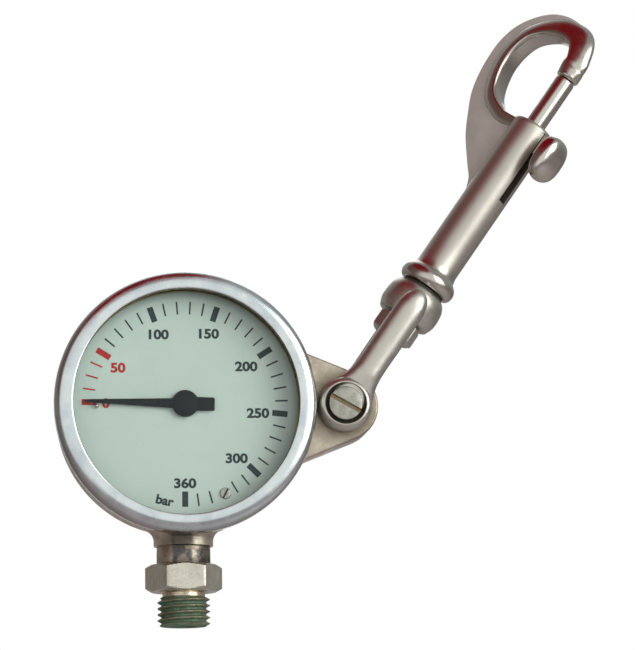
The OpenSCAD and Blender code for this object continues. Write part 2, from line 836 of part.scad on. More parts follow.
module pivot_screw() {
    seat_y = -leg_out + pivot_recess;
    color("Silver") translate([pivot_x, 0, dial_y]) rotate([90, 0, 0]) difference() {
        union() {
            translate([0, 0, -seat_y]) cylinder(r = pivot_head_r, h = pivot_head_h);
            translate([0, 0, -leg_out]) cylinder(r = pivot_r, h = leg_out - seat_y);
        }
        translate([0, 0, -seat_y + pivot_head_h]) rotate([0, 0, pivot_slot_angle])
            screw_slot(pivot_head_r, pivot_slot_w, 0.7);
    }
}

module swivel_washer() {
    color("DimGray") at_arm() translate([0, 0, arm_length])
        tube_ring(washer_r, bolt_r + fit_gap, washer_t);
}

// ---------------------------------------------------------------- snap

module swivel_bolt() {
    head_top = -crown_h - bolt_head_gap;
    head_r = bolt_af / 2 / cos(30);
    color("Silver") at_snap() {
        intersection() {
            translate([0, 0, head_top - bolt_head_h]) cylinder(r = head_r, h = bolt_head_h, $fn = 6);
            rotate_extrude($fn = 72) polygon([
                [0, head_top - bolt_head_h], [bolt_af / 2 - 0.2, head_top - bolt_head_h],
                [head_r + 0.1, head_top - bolt_head_h + 0.8], [head_r + 0.1, head_top], [0, head_top]]);
        }
        translate([0, 0, head_top - 0.1]) cylinder(r = bolt_r, h = bolt_depth - head_top + 0.1);
    }
}

module fin_outline() {
    root = hook_z - 32;
    polygon(concat(
        [[0, root], [-barrel_r + 0.1, root], [-barrel_r - 1.5, root + 3.4], [-8.7, root + 6.2],
            [-14, root + 12.2]],
        arc([hook_x + 2.8, hook_z - 2], hook_half_w + 2.8, 212, 150, 8),
        [[hook_x, hook_z + 5], [0, hook_z - hook_low]]));
}

module hook_blank() {
    rotate([90, 0, 0]) {
        translate([0, 0, -hook_t / 2]) linear_extrude(hook_t)
            polygon(egg([hook_x, hook_z], hook_half_w, hook_top, hook_low));
        translate([0, 0, -fin_t / 2]) linear_extrude(fin_t) fin_outline();
    }
}

module snap_body() {
    color("Silver") at_snap() difference() {
        union() {
            rotate_extrude($fn = 72) polygon(concat(
                [[0, collar_z]],
                arc([collar_d / 2 - 1.4, collar_z + 1.4], 1.4, -90, 0, 5),
                arc([collar_d / 2 - 1.8, collar_z + collar_h - 1.8], 1.8, 0, 90, 5),
                [[barrel_r, collar_z + collar_h + 0.4], [barrel_r, barrel_length], [0, barrel_length]]));
            hook_blank();
            translate([0, 0, tip_z]) cylinder(r = tip_r, h = 4);
        }
        rotate([90, 0, 0]) translate([0, 0, -10]) linear_extrude(20)
            union() {
                polygon(egg([eye_x, hook_z], eye_half_w, eye_top, eye_low));
                polygon(arc(eye_corner, eye_corner_r, 0, 345, 23));
            }
        translate([-plunger_r - 0.4, -10, barrel_length]) cube([20, 20, gate]);
        translate([0, 0, chamber_z]) cylinder(r = bore_r, h = tip_z - chamber_z);
        translate([0, 0, collar_z - cut]) cylinder(r = bolt_r, h = bolt_depth - collar_z + cut);
        translate([0, -slot_w / 2, slot_low]) cube([10, slot_w, slot_top - slot_low]);
    }
}

module knob_blade(from_x) {
    translate([from_x, -blade_t / 2, blade_low]) cube([knob_x - from_x, blade_t, blade_length]);
}

module plunger() {
    color("Gainsboro") at_snap() difference() {
        rotate_extrude() polygon([
            [0, plunger_tail], [plunger_r, plunger_tail], [plunger_r, tip_z - tip_gap - 0.4],
            [plunger_r - 0.4, tip_z - tip_gap], [0, tip_z - tip_gap]]);
        knob_blade(0.6);
    }
}

module thumb_knob() {
    color("Gainsboro") at_snap() {
        knob_blade(0.6);
        translate([knob_x, 0, knob_z]) rotate([0, 90, 0]) rotate_extrude() polygon(concat(
            [[0, -0.4], [knob_d / 2 - 1, -0.4]],
            arc([knob_d / 2 - 1, 0.6], 1, -90, 0, 4),
            [for (k = [1:6]) [knob_d / 2 * cos(15 * k), 0.6 + (knob_h - 0.6) * sin(15 * k)]]));
    }
}

module plunger_spring() {
    sides = 8;
    steps = 20 * spring_turns;
    coil_r = bore_r - spring_r - 0.05;
    rise = (spring_top - spring_low) / steps;
    points = [for (i = [0:steps]) for (j = [0:sides - 1])
        let (a = 18 * i, b = 360 * j / sides, r = coil_r + spring_r * cos(b))
        [r * cos(a), r * sin(a), spring_low + rise * i + spring_r * sin(b)]];
    walls = [for (i = [0:steps - 1]) for (j = [0:sides - 1])
        let (k = (j + 1) % sides)
        [i * sides + j, (i + 1) * sides + j, (i + 1) * sides + k, i * sides + k]];
    ends = [[for (j = [0:sides - 1]) j], [for (j = [sides - 1:-1:0]) steps * sides + j]];
    color("LightSteelBlue") at_snap() polyhedron(points, concat(walls, ends));
}

case_body();
bezel_ring();
lens();
lens_seal();
dial_support();
dial_plate();
dial_screw();
stop_pin();
pointer();
pinion_arbor();
hairspring();
sector_gear();
sector_shaft();
tail_pin();
link();
link_screw();
pressure_tube();
tube_tip();
socket_block();
back_plate();
front_plate();
pillar_left();
pillar_right();
pillar_low();
plate_screw_left();
plate_screw_right();
block_screw_left();
block_screw_right();
connection_stem();
throttle_screw();
stem_seal();
relief_plug();
relief_seal();
fork();
pivot_screw();
swivel_washer();
swivel_bolt();
snap_body();
plunger();
thumb_knob();
plunger_spring();
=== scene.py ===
import json
import math
from math import cos, pi, radians, sin

import bmesh
import bpy
from mathutils import Matrix, Vector


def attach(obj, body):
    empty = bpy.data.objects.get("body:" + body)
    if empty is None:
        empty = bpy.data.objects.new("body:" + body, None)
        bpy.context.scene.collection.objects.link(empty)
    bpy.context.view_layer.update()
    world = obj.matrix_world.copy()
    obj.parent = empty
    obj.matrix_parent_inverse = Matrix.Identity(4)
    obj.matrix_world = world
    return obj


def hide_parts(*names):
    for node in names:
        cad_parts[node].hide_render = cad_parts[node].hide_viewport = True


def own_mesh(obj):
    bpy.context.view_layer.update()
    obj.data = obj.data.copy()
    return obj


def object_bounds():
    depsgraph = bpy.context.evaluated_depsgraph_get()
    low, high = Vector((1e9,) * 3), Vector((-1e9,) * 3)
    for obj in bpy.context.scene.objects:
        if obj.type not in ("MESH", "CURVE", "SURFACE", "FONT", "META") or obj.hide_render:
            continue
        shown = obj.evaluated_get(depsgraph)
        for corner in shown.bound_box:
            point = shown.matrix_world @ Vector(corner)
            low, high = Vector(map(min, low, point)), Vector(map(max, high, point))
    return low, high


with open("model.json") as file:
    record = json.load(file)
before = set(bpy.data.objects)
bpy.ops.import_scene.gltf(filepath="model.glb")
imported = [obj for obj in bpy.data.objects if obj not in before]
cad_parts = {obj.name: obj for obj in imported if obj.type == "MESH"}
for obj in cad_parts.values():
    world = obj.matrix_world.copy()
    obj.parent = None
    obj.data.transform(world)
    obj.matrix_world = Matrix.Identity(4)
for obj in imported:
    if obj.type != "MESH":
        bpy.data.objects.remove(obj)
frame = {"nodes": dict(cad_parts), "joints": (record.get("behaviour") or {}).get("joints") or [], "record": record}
cad_low, cad_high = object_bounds()
record = frame["record"]
joints = {j["name"]: j for j in frame["joints"]}
MM = 0.001


# ---------------------------------------------------------------- local frames, in millimetres

def basis(origin, x, y, z):
    turn = Matrix((x, y, z)).transposed().to_4x4()
    return Matrix.Translation(Vector(origin)) @ turn @ Matrix.Scale(MM, 4)


def centre_of(node):
    points = [v.co for v in frame["nodes"][node].data.vertices]
    return sum(points, Vector()) / len(points)


ROW = Matrix.Scale(MM, 4)
dial_centre = Vector(joints["pointer_turn"]["pos_m"])
DIAL = basis(dial_centre, (1, 0, 0), (0, 0, 1), (0, -1, 0))
pivot = Vector(joints["arm_pivot"]["pos_m"])
arm = Vector(joints["snap_swivel"]["axis"]).normalized()
arm_x = Vector((arm.z, 0, -arm.x))
ARM = basis(pivot, arm_x, (0, 1, 0), arm)
swivel = Vector(joints["snap_swivel"]["pos_m"])
toward_knob = centre_of("thumb_knob") - swivel
snap_x = (toward_knob - arm * toward_knob.dot(arm)).normalized()
SNAP = basis(swivel, snap_x, arm.cross(snap_x), arm)


def local(node, place):
    """Lowest and highest corner of a CAD node in a local frame, in millimetres."""
    back = place.inverted()
    points = [back @ v.co for v in frame["nodes"][node].data.vertices]
    return (Vector([min(p[k] for p in points) for k in range(3)]),
            Vector([max(p[k] for p in points) for k in range(3)]))


# ---------------------------------------------------------------- mesh making

def spline(points, steps):
    """Points on a smooth curve through the given ones, which may have any number of values."""
    n = len(points)
    out = []
    for i in range(n - 1):
        p = [points[min(max(i + k, 0), n - 1)] for k in (-1, 0, 1, 2)]
        for s in range(steps):
            t = s / steps
            out.append([0.5 * (2 * b + (c - a) * t + (2 * a - 5 * b + 4 * c - d) * t * t
                               + (3 * b - a - 3 * c + d) * t ** 3) for a, b, c, d in zip(*p)])
    out.append(list(points[-1]))
    return out


def arc(cx, cy, r, start, end, steps=6):
    return [(cx + r * cos(radians(start + (end - start) * i / steps)),
             cy + r * sin(radians(start + (end - start) * i / steps))) for i in range(steps + 1)]


def loft(rings, close=False, caps=True):
    n = len(rings[0])
    verts = [p for ring in rings for p in ring]
    faces = []
    for i in range(len(rings) if close else len(rings) - 1):
        j = (i + 1) % len(rings)
        for k in range(n):
            m = (k + 1) % n
            faces.append((i * n + k, i * n + m, j * n + m, j * n + k))
    if caps and not close:
        faces.append(tuple(reversed(range(n))))
        faces.append(tuple((len(rings) - 1) * n + k for k in range(n)))
    return verts, faces


def circle(r, z, n):
    return [(r * cos(2 * pi * k / n), r * sin(2 * pi * k / n), z) for k in range(n)]


def lathe(profile, n=96, close=False):
    """A turned piece about z. The profile is (radius, height) points. A closed one makes a ring."""
    return loft([circle(r, z, n) for r, z in profile], close=close)


def power_of(value, power):
    """A power that keeps the sign, for rounded squares."""
    return math.copysign(abs(value) ** power, value)


def prism(outline, z0, z1):
    n = len(outline)
    verts = [(x, y, z0) for x, y in outline] + [(x, y, z1) for x, y in outline]
    faces = [tuple(reversed(range(n))), tuple(range(n, 2 * n))]
    faces += [(k, (k + 1) % n, n + (k + 1) % n, n + k) for k in range(n)]
    return verts, faces


def bar(x0, x1, y0, y1, z0, z1):
    return prism([(x0, y0), (x1, y0), (x1, y1), (x0, y1)], z0, z1)


def moved(shape, matrix):
    return [matrix @ Vector(v) for v in shape[0]], shape[1]


def turned(shape, degrees, at=(0, 0, 0)):
    """A shape turned about z, and then moved."""
    return moved(shape, Matrix.Translation(Vector(at)) @ Matrix.Rotation(radians(degrees), 4, "Z"))


def build(name, shapes, place, materials, sharp=32):
    """One object from shapes, each with an optional material number."""
    bm = bmesh.new()
    for shape in shapes:
        verts, faces = shape[0], shape[1]
        number = shape[2] if len(shape) > 2 else 0
        made = [bm.verts.new(place @ Vector(v)) for v in verts]
        part = []
        for f in faces:
            try:
                face = bm.faces.new([made[k] for k in f])
            except ValueError:
                continue
            face.material_index = number
            part.append(face)
        bmesh.ops.remove_doubles(bm, verts=made, dist=2e-7)
    bmesh.ops.recalc_face_normals(bm, faces=bm.faces[:])
    mesh = bpy.data.meshes.new(name)
    bm.to_mesh(mesh)
    bm.free()
    for m in materials:
        mesh.materials.append(m)
    obj = bpy.data.objects.new(name, mesh)
    bpy.context.scene.collection.objects.link(obj)
    shade(obj, sharp)
    return obj


def shade(obj, sharp=32):
    for face in obj.data.polygons:
        face.use_smooth = True
    obj.data.set_sharp_from_angle(angle=radians(sharp))


def bake(obj, sharp=32):
    """Applies the object's modifiers to its mesh."""
    bpy.context.view_layer.update()
    depsgraph = bpy.context.evaluated_depsgraph_get()
    mesh = bpy.data.meshes.new_from_object(obj.evaluated_get(depsgraph), depsgraph=depsgraph)
    obj.modifiers.clear()
    old = obj.data
    obj.data = mesh
    bpy.data.meshes.remove(old)
    shade(obj, sharp)


def bevel(obj, width, segments):
    m = obj.modifiers.new("bevel", "BEVEL")
    m.width = width * MM
    m.segments = segments
    m.limit_method = "ANGLE"
    m.angle_limit = radians(50)
    m.use_clamp_overlap = True
    bake(obj, 40)


def cut(obj, shape, place, sharp=32):
    tool = build("tool", [shape], place, [])
    m = obj.modifiers.new("cut", "BOOLEAN")
    m.operation = "DIFFERENCE"
    m.solver = "EXACT"
    m.object = tool
    bake(obj, sharp)
    bpy.data.objects.remove(tool)


def paint_faces(obj, look, chosen):
    """Gives a further look to the faces whose centres are chosen."""
    obj.data.materials.append(look.material)
    for face in obj.data.polygons:
        if chosen(face.center):
            face.material_index = 1


def finish_piece(obj, body, slot, *nodes):
    if nodes:
        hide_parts(*nodes)
    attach(obj, body)


# ---------------------------------------------------------------- materials

class Shader:
    """A Principled material whose colour, roughness and bump come from nodes."""

    def __init__(self, name, base, metallic=1.0, rough=0.3, **sockets):
        self.material = bpy.data.materials.new(name)
        self.material.use_nodes = True
        self.tree = self.material.node_tree
        self.bsdf = self.tree.nodes["Principled BSDF"]
        self.bsdf.inputs["Metallic"].default_value = metallic
        self.bsdf.inputs["Base Color"].default_value = (*base, 1)
        self.bsdf.inputs["Roughness"].default_value = rough
        for socket, value in sockets.items():
            self.bsdf.inputs[socket.replace("_", " ")].default_value = value
        self.colour = tuple(base) + (1,)
        self.rough_value = rough
        self.rough_out = None
        self.normal = None
        self.seed = 0
        self.coords = self.node("ShaderNodeTexCoord").outputs["Object"]

    def node(self, kind, **settings):
        made = self.tree.nodes.new(kind)
        for key, value in settings.items():
            setattr(made, key, value)
        return made

    def link(self, a, b):
        self.tree.links.new(a, b)

    def noise(self, size, detail=3.0, stretch=(1, 1, 1)):
        """Noise whose features are about size millimetres."""
        self.seed += 1
        place = self.node("ShaderNodeMapping")
        place.inputs["Scale"].default_value = stretch
        place.inputs["Location"].default_value = (0.37 * self.seed, 0.11 * self.seed, 0.23 * self.seed)
        self.link(self.coords, place.inputs["Vector"])
        tex = self.node("ShaderNodeTexNoise")
        tex.inputs["Scale"].default_value = 1000 / size
        tex.inputs["Detail"].default_value = detail
        tex.inputs["Roughness"].default_value = 0.55
        self.link(place.outputs["Vector"], tex.inputs["Vector"])
        return tex.outputs["Fac"]

    def span(self, value, low, high, to_low=0.0, to_high=1.0):
        m = self.node("ShaderNodeMapRange")
        self.link(value, m.inputs["Value"])
        for key, number in zip(("From Min", "From Max", "To Min", "To Max"), (low, high, to_low, to_high)):
            m.inputs[key].default_value = number
        return m.outputs["Result"]

    def times(self, a, b):
        m = self.node("ShaderNodeMath", operation="MULTIPLY")
        for k, value in enumerate((a, b)):
            if isinstance(value, (int, float)):
                m.inputs[k].default_value = value
            else:
                self.link(value, m.inputs[k])
        return m.outputs[0]

    def along(self, direction, low, high):
        """0 to 1 along a direction of the row frame, between two lengths in millimetres."""
        m = self.node("ShaderNodeVectorMath", operation="DOT_PRODUCT")
        self.link(self.coords, m.inputs[0])
        m.inputs[1].default_value = direction
        return self.span(m.outputs["Value"], low * MM, high * MM)

    def radius(self, low, high, centre=(0, 0, 0), flat=(1, 1, 0)):
        """0 to 1 by the distance from an axis, between two radii in millimetres."""
        a = self.node("ShaderNodeVectorMath", operation="SUBTRACT")
        self.link(self.coords, a.inputs[0])
        a.inputs[1].default_value = centre
        b = self.node("ShaderNodeVectorMath", operation="MULTIPLY")
        self.link(a.outputs["Vector"], b.inputs[0])
        b.inputs[1].default_value = flat
        c = self.node("ShaderNodeVectorMath", operation="LENGTH")
        self.link(b.outputs["Vector"], c.inputs[0])
        return self.span(c.outputs["Value"], low * MM, high * MM)

    def tint(self, colour, mask):
        m = self.node("ShaderNodeMix", data_type="RGBA")
        if isinstance(self.colour, tuple):
            m.inputs[6].default_value = self.colour
        else:
            self.link(self.colour, m.inputs[6])
        m.inputs[7].default_value = (*colour, 1)
        self.link(mask, m.inputs[0])
        self.colour = m.outputs[2]
        self.link(self.colour, self.bsdf.inputs["Base Color"])
        return self

    def blotch(self, colour, size, low=0.45, high=0.65, amount=1.0, detail=3.0, stretch=(1, 1, 1)):
        return self.tint(colour, self.span(self.noise(size, detail, stretch), low, high, 0, amount))

    def roughen(self, value, mask):
        """Roughness goes to value where mask is 1."""
        m = self.node("ShaderNodeMix")
        if self.rough_out is None:
            m.inputs[2].default_value = self.rough_value
        else:
            self.link(self.rough_out, m.inputs[2])
        m.inputs[3].default_value = value
        self.link(mask, m.inputs[0])
        self.rough_out = m.outputs[0]
        self.link(self.rough_out, self.bsdf.inputs["Roughness"])
        return self

    def wear(self, value, size, low=0.4, high=0.7, detail=3.0, stretch=(1, 1, 1)):
        return self.roughen(value, self.span(self.noise(size, detail, stretch), low, high))

    def bump(self, size, height, strength=1.0, detail=2.0, stretch=(1, 1, 1)):
        """Surface relief. Its size and height are in millimetres."""
        b = self.node("ShaderNodeBump")
        b.inputs["Strength"].default_value = strength
        b.inputs["Distance"].default_value = height * MM
        self.link(self.noise(size, detail, stretch), b.inputs["Height"])
        if self.normal is not None:
            self.link(self.normal, b.inputs["Normal"])
        self.normal = b.outputs["Normal"]
        self.link(self.normal, self.bsdf.inputs["Normal"])
        return self


def steel(name, base, rough, dark, grain=(1, 1, 1), polish=0.006):
    s = Shader(name, base, 1.0, rough)
    s.blotch(dark, 7.0, 0.42, 0.75, 0.55)
    s.blotch(tuple(c * 0.7 for c in base), 0.5, 0.55, 0.8, 0.35, 4.0, grain)
    s.wear(min(1.0, rough * 1.35), 2.2, 0.4, 0.75, 4.0, grain)
    s.bump(0.25, polish, 0.5, 3.0, grain)
    s.bump(5.0, 0.02, 0.25, 1.0)
    return s


HUB = centre_of("bezel_ring")
PIVOT = centre_of("pivot_screw")

satin = steel("satin_steel", (0.60, 0.58, 0.52), 0.22, (0.54, 0.51, 0.45))
fork_steel = steel("fork_steel", (0.60, 0.59, 0.53), 0.33, (0.53, 0.515, 0.45))
barrel_steel = steel("barrel_steel", (0.60, 0.58, 0.52), 0.22, (0.54, 0.51, 0.45))
collar_end = swivel.dot(arm) / MM + 4
barrel_steel.roughen(0.40, barrel_steel.along(tuple(arm), collar_end, collar_end + 3))
polished = steel("polished_steel", (0.66, 0.64, 0.58), 0.18, (0.58, 0.55, 0.49), polish=0.004)

matte = Shader("fin_face", (0.74, 0.76, 0.70), 0.2, 0.55)
matte.blotch((0.62, 0.635, 0.58), 3.0, 0.35, 0.75, 0.7).blotch((0.78, 0.79, 0.73), 0.6, 0.5, 0.8, 0.4, 4.0)
matte.wear(0.62, 1.2).bump(0.22, 0.012, 0.6, 3.0).bump(1.6, 0.02, 0.3)

nickel = Shader("blasted_nickel", (0.68, 0.62, 0.50), 1.0, 0.34)
nickel.blotch((0.46, 0.40, 0.31), 4.5, 0.42, 0.72, 0.7).blotch((0.82, 0.77, 0.66), 0.9, 0.5, 0.75, 0.6, 4.0)
# Painted shade: dark brown round the pivot, where the fork's eyes shade the lug
nickel.tint((0.20, 0.165, 0.115), nickel.times(nickel.radius(9.6, 6.2, PIVOT, (1, 0, 1)), 0.85))
# A dark disc at the middle of the neck, below the case
nickel.tint((0.045, 0.042, 0.034), nickel.times(nickel.radius(4.2, 2.0, (-0.0008, 0, 0.0174), (1, 0, 1)), 0.85))
# Painted shade: the case's inner wall round the dial, in front of it, is made near-black green
nickel.tint((0.05, 0.075, 0.065), nickel.times(nickel.radius(25.2, 24.9, HUB, (1, 0, 1)),
                                               nickel.along((0, -1, 0), 2.0, 2.4)))
nickel.wear(0.5, 1.5).bump(0.16, 0.02, 0.8, 3.0).bump(0.8, 0.035, 0.7, 3.0, (0.5, 1, 1))

worn_nickel = Shader("worn_nickel", (0.72, 0.71, 0.61), 1.0, 0.34)
worn_nickel.blotch((0.52, 0.48, 0.40), 3.2, 0.45, 0.7, 0.6, 4.0).blotch((0.30, 0.27, 0.21), 0.28, 0.56, 0.68, 0.6, 4.0)
worn_nickel.wear(0.5, 1.1).bump(0.26, 0.022, 0.8, 4.0).bump(1.3, 0.02, 0.3)

land_steel = Shader("dark_land", (0.12, 0.115, 0.115), 1.0, 0.26)
land_steel.blotch((0.36, 0.31, 0.23), 1.7, 0.46, 0.6, 0.85, 4.0)
land_steel.blotch((0.05, 0.05, 0.055), 0.8, 0.5, 0.7, 0.6, 3.0, (1, 1, 4))
# Painted highlight: the land's left side is made paler
land_steel.tint((0.50, 0.44, 0.36), land_steel.along((1, 0, 0), -2.4, -3.0))
land_steel.wear(0.5, 0.9).bump(0.35, 0.02, 0.6, 4.0)

gilt = Shader("relief_brass", (0.78, 0.70, 0.54), 1.0, 0.24)
gilt.blotch((0.42, 0.33, 0.20), 1.0, 0.45, 0.7, 0.7).wear(0.45, 0.6).bump(0.3, 0.01, 0.5)

bezel_polish = Shader("bezel_polish", (0.74, 0.82, 0.82), 1.0, 0.22)
bezel_polish.blotch((0.56, 0.645, 0.69), 7.0, 0.42, 0.66, 0.8).blotch((0.84, 0.86, 0.86), 2.6, 0.5, 0.7, 0.6, 4.0)
# Painted shade: the bezel's outer edge is darkened brown all round
bezel_polish.tint((0.30, 0.24, 0.19), bezel_polish.times(bezel_polish.radius(26.9, 27.8, HUB, (1, 0, 1)), 0.75))
bezel_polish.wear(0.32, 3.0, 0.45, 0.75, 4.0).bump(6.0, 0.04, 0.35, 1.0).bump(0.4, 0.003, 0.4, 3.0)

# Painted shade: a dark gold-brown for the bezel's inner edge at the window and for the pivot screw's slot floor
painted_brown_shade = Shader("painted_brown_shade", (0.26, 0.22, 0.14), 1.0, 0.34)
painted_brown_shade.blotch((0.25, 0.17, 0.08), 1.5, 0.4, 0.65, 0.8).bump(0.3, 0.01, 0.5)

DIAL_GREEN = (0.61, 0.73, 0.675)
dial_paint = Shader("dial_paint", DIAL_GREEN, 0.0, 0.42)
dial_paint.blotch((0.575, 0.695, 0.64), 8.0, 0.4, 0.7, 0.6).blotch((0.665, 0.78, 0.725), 0.7, 0.5, 0.8, 0.35, 4.0)
# Painted shadow: the dial's rim towards the upper right is darker green, where the bezel's lip shades it
dial_paint.tint((0.24, 0.34, 0.30), dial_paint.times(dial_paint.radius(22.3, 24.2, HUB, (1, 0, 1)),
                                                          dial_paint.along((0.6, 0, 0.8), 30, 52)))
dial_paint.wear(0.52, 2.0).bump(0.25, 0.004, 0.5, 3.0)

ink_dark = Shader("ink_dark", (0.024, 0.042, 0.048), 0.0, 0.45, Specular_IOR_Level=0.15)
ink_dark.blotch((0.035, 0.05, 0.06), 0.5, 0.45, 0.7, 0.8, 4.0).wear(0.6, 0.5).bump(0.15, 0.004, 0.5)
ink_red = Shader("ink_red", (0.50, 0.012, 0.016), 0.0, 0.42, Specular_IOR_Level=0.15)
ink_red.blotch((0.55, 0.05, 0.035), 0.5, 0.45, 0.7, 0.8, 4.0).wear(0.55, 0.5).bump(0.15, 0.004, 0.5)

black_satin = Shader("pointer_black", (0.007, 0.012, 0.015), 0.0, 0.5, Specular_IOR_Level=0.08)
black_satin.blotch((0.015, 0.02, 0.024), 1.0, 0.45, 0.7, 0.7).wear(0.5, 0.6).bump(0.2, 0.006, 0.5)

brass = Shader("brass", (0.66, 0.47, 0.18), 1.0, 0.28)
brass.blotch((0.48, 0.32, 0.12), 3.0, 0.4, 0.7, 0.7).blotch((0.78, 0.62, 0.32), 0.4, 0.55, 0.8, 0.4, 3.0, (1, 6, 1))
brass.wear(0.42, 1.0).bump(0.3, 0.008, 0.5, 3.0, (1, 6, 1))

bronze = Shader("bronze", (0.52, 0.30, 0.13), 1.0, 0.3)
bronze.blotch((0.34, 0.18, 0.09), 2.5, 0.4, 0.7, 0.7).wear(0.48, 1.0).bump(0.3, 0.01, 0.5, 3.0, (1, 1, 6))

tool_steel = steel("spring_steel", (0.50, 0.51, 0.53), 0.26, (0.36, 0.37, 0.39))
screw_steel = Shader("screw_steel", (0.46, 0.46, 0.40), 1.0, 0.30)
screw_steel.blotch((0.28, 0.29, 0.25), 1.6, 0.42, 0.66, 0.8, 4.0).blotch((0.66, 0.66, 0.58), 0.5, 0.55, 0.75, 0.6, 4.0)
screw_steel.wear(0.5, 0.8).bump(0.25, 0.02, 0.7, 4.0)
# Painted shade: a near-black colour for the insides of slots, recesses and the barrel's bore, where shade falls
recess_shade = Shader("painted_recess_shade", (0.03, 0.027, 0.022), 0.3, 0.6)
recess_shade.blotch((0.08, 0.07, 0.05), 0.6, 0.5, 0.75, 0.7, 4.0).bump(0.25, 0.02, 0.6)

rubber = Shader("rubber", (0.022, 0.022, 0.023), 0.0, 0.55)
rubber.blotch((0.04, 0.04, 0.042), 0.7, 0.45, 0.7, 0.8).wear(0.7, 0.5).bump(0.2, 0.01, 0.6)
plastic = Shader("washer_plastic", (0.03, 0.03, 0.03), 0.0, 0.42)
plastic.blotch((0.055, 0.055, 0.05), 0.9, 0.45, 0.7, 0.8).wear(0.55, 0.6).bump(0.25, 0.008, 0.5)

# The thread: dark metal with verdigris in its grooves
thread = Shader("thread_metal", (0.42, 0.39, 0.28), 0.7, 0.5)
thread.blotch((0.24, 0.18, 0.11), 1.6, 0.4, 0.62, 0.8, 4.0)
in_groove = thread.radius(5.42, 4.95)
thread.tint((0.17, 0.21, 0.15), in_groove)
green = thread.span(thread.noise(1.3, 4.0), 0.36, 0.66, 0, 0.85)
thread.tint((0.21, 0.38, 0.25), thread.times(thread.radius(5.7, 5.15), green))
thread.roughen(0.7, in_groove).bump(0.25, 0.02, 0.6, 4.0)

# Glass: rays from lamps pass straight through, so the dial behind it is lit
glass = Shader("window_glass", (0.97, 1.0, 0.985), 0.0, 0.015, Transmission_Weight=1.0, IOR=1.27,
               Specular_IOR_Level=0.14)
glass.roughen(0.03, glass.span(glass.noise(5.0), 0.45, 0.7)).bump(14.0, 0.01, 0.15, 1.0)
clear = glass.node("ShaderNodeBsdfTransparent")
clear.inputs["Color"].default_value = (0.95, 0.98, 0.96, 1)
either = glass.node("ShaderNodeMixShader")
path = glass.node("ShaderNodeLightPath")
glass.link(path.outputs["Is Shadow Ray"], either.inputs[0])
glass.link(glass.bsdf.outputs[0], either.inputs[1])
glass.link(clear.outputs[0], either.inputs[2])
glass.link(either.outputs[0], glass.tree.nodes["Material Output"].inputs["Surface"])

CAD_LOOKS = {
    "nickel_case": nickel, "nickel_stem": worn_nickel, "bezel_steel": bezel_polish, "lens_glass": glass,
    "seal_rubber": rubber, "dial_paint": dial_paint, "bright_screw": screw_steel,
    "pointer_black": black_satin, "brass_movement": brass, "bronze_tube": bronze,
    "spring_steel": tool_steel, "stainless_satin": satin, "stainless_bright": polished,
    "washer_plastic": plastic}
slot_of = {s["node"]: s["material_slot"] for s in record["subparts"]}
for name, obj in frame["nodes"].items():
    look = CAD_LOOKS[slot_of[name]].material
    obj.data.materials.clear()
    obj.data.materials.append(look)


# ---------------------------------------------------------------- bezel

low, high = local("bezel_ring", DIAL)
bezel_r, face_z, bezel_z = high.x, high.z, low.z
lens_high = local("lens", DIAL)[1]
skirt_r = lens_high.x + 0.1
window_r = bezel_r - 3.9
lip_z = lens_high.z
profile = [(skirt_r, lip_z), (skirt_r, bezel_z)]
profile += arc(bezel_r - 0.5, bezel_z + 0.5, 0.5, -90, 0, 4)
profile += [(bezel_r - 0.02, bezel_z + 1.6)]
profile += spline([(bezel_r, face_z - 2.6), (bezel_r - 0.22, face_z - 1.4), (bezel_r - 0.85, face_z - 0.5),
                   (bezel_r - 1.8, face_z - 0.12), (bezel_r - 2.6, face_z), (window_r + 0.5, face_z - 0.02),
                   (window_r + 0.14, face_z - 0.1)], 5)
edge_from = len(profile)
profile += [(window_r + 0.03, face_z - 0.25), (window_r, face_z - 0.5), (window_r, lip_z + 0.02)]
shape = lathe(profile, 192, close=True)
rows = len(profile)
# The inner edge and wall at the window take the dark gold-brown, a painted shade
main_faces = [f for f in shape[1] if f[0] // 192 < edge_from - 1 or f[0] // 192 >= rows - 1]
lip_faces = [f for f in shape[1] if edge_from - 1 <= f[0] // 192 < rows - 1]
bezel = build("bezel_rim", [(shape[0], main_faces, 0), (shape[0], lip_faces, 1)], DIAL,
              [bezel_polish.material, painted_brown_shade.material], 60)
finish_piece(bezel, "gauge", "bezel_steel", "bezel_ring")


# ---------------------------------------------------------------- lug, with rounded edges

pivot_x = (centre_of("pivot_screw") - centre_of("bezel_ring")).x / MM
LUG_R, LUG_SLOPE, LUG_HALF = 7.3 + 0.25, 22, 5.12
lug_line = arc(pivot_x, 0, LUG_R, LUG_SLOPE - 90, 90 - LUG_SLOPE, 20)
root_x = 25.0
root_y = lug_line[-1][1] + (lug_line[-1][0] - root_x) * math.tan(radians(LUG_SLOPE))
lug = build("lug_casting", [prism([(root_x, -root_y), *lug_line, (root_x, root_y)], -LUG_HALF, LUG_HALF)], DIAL,
            [nickel.material], 40)
bevel(lug, 0.45, 4)
finish_piece(lug, "gauge", "nickel_case")


# ---------------------------------------------------------------- dial print

dial_top = local("dial_plate", DIAL)[1].z
PRINT_H = 0.03
SUNK = 0.01


FULL_SCALE, FULL_SCALE_ANGLE, DEGREES_PER_BAR = 360, -90.3, 0.7695
ZERO_STANDS_AT = 11
HIDDEN_MARK = 330
MARKS_END, MAIN_START, SMALL_START = 21.8, 18.55, 19.1
MAIN_WIDTH, SMALL_WIDTH = 1.25, 0.34


def value_angle(value):
    """Direction of a pressure on the dial, anticlockwise from +X."""
    return FULL_SCALE_ANGLE + (FULL_SCALE - value) * DEGREES_PER_BAR


def radial_bar(angle, r0, r1, width):
    return turned(bar(r0, r1, -width / 2, width / 2, dial_top - SUNK, dial_top + PRINT_H), angle)


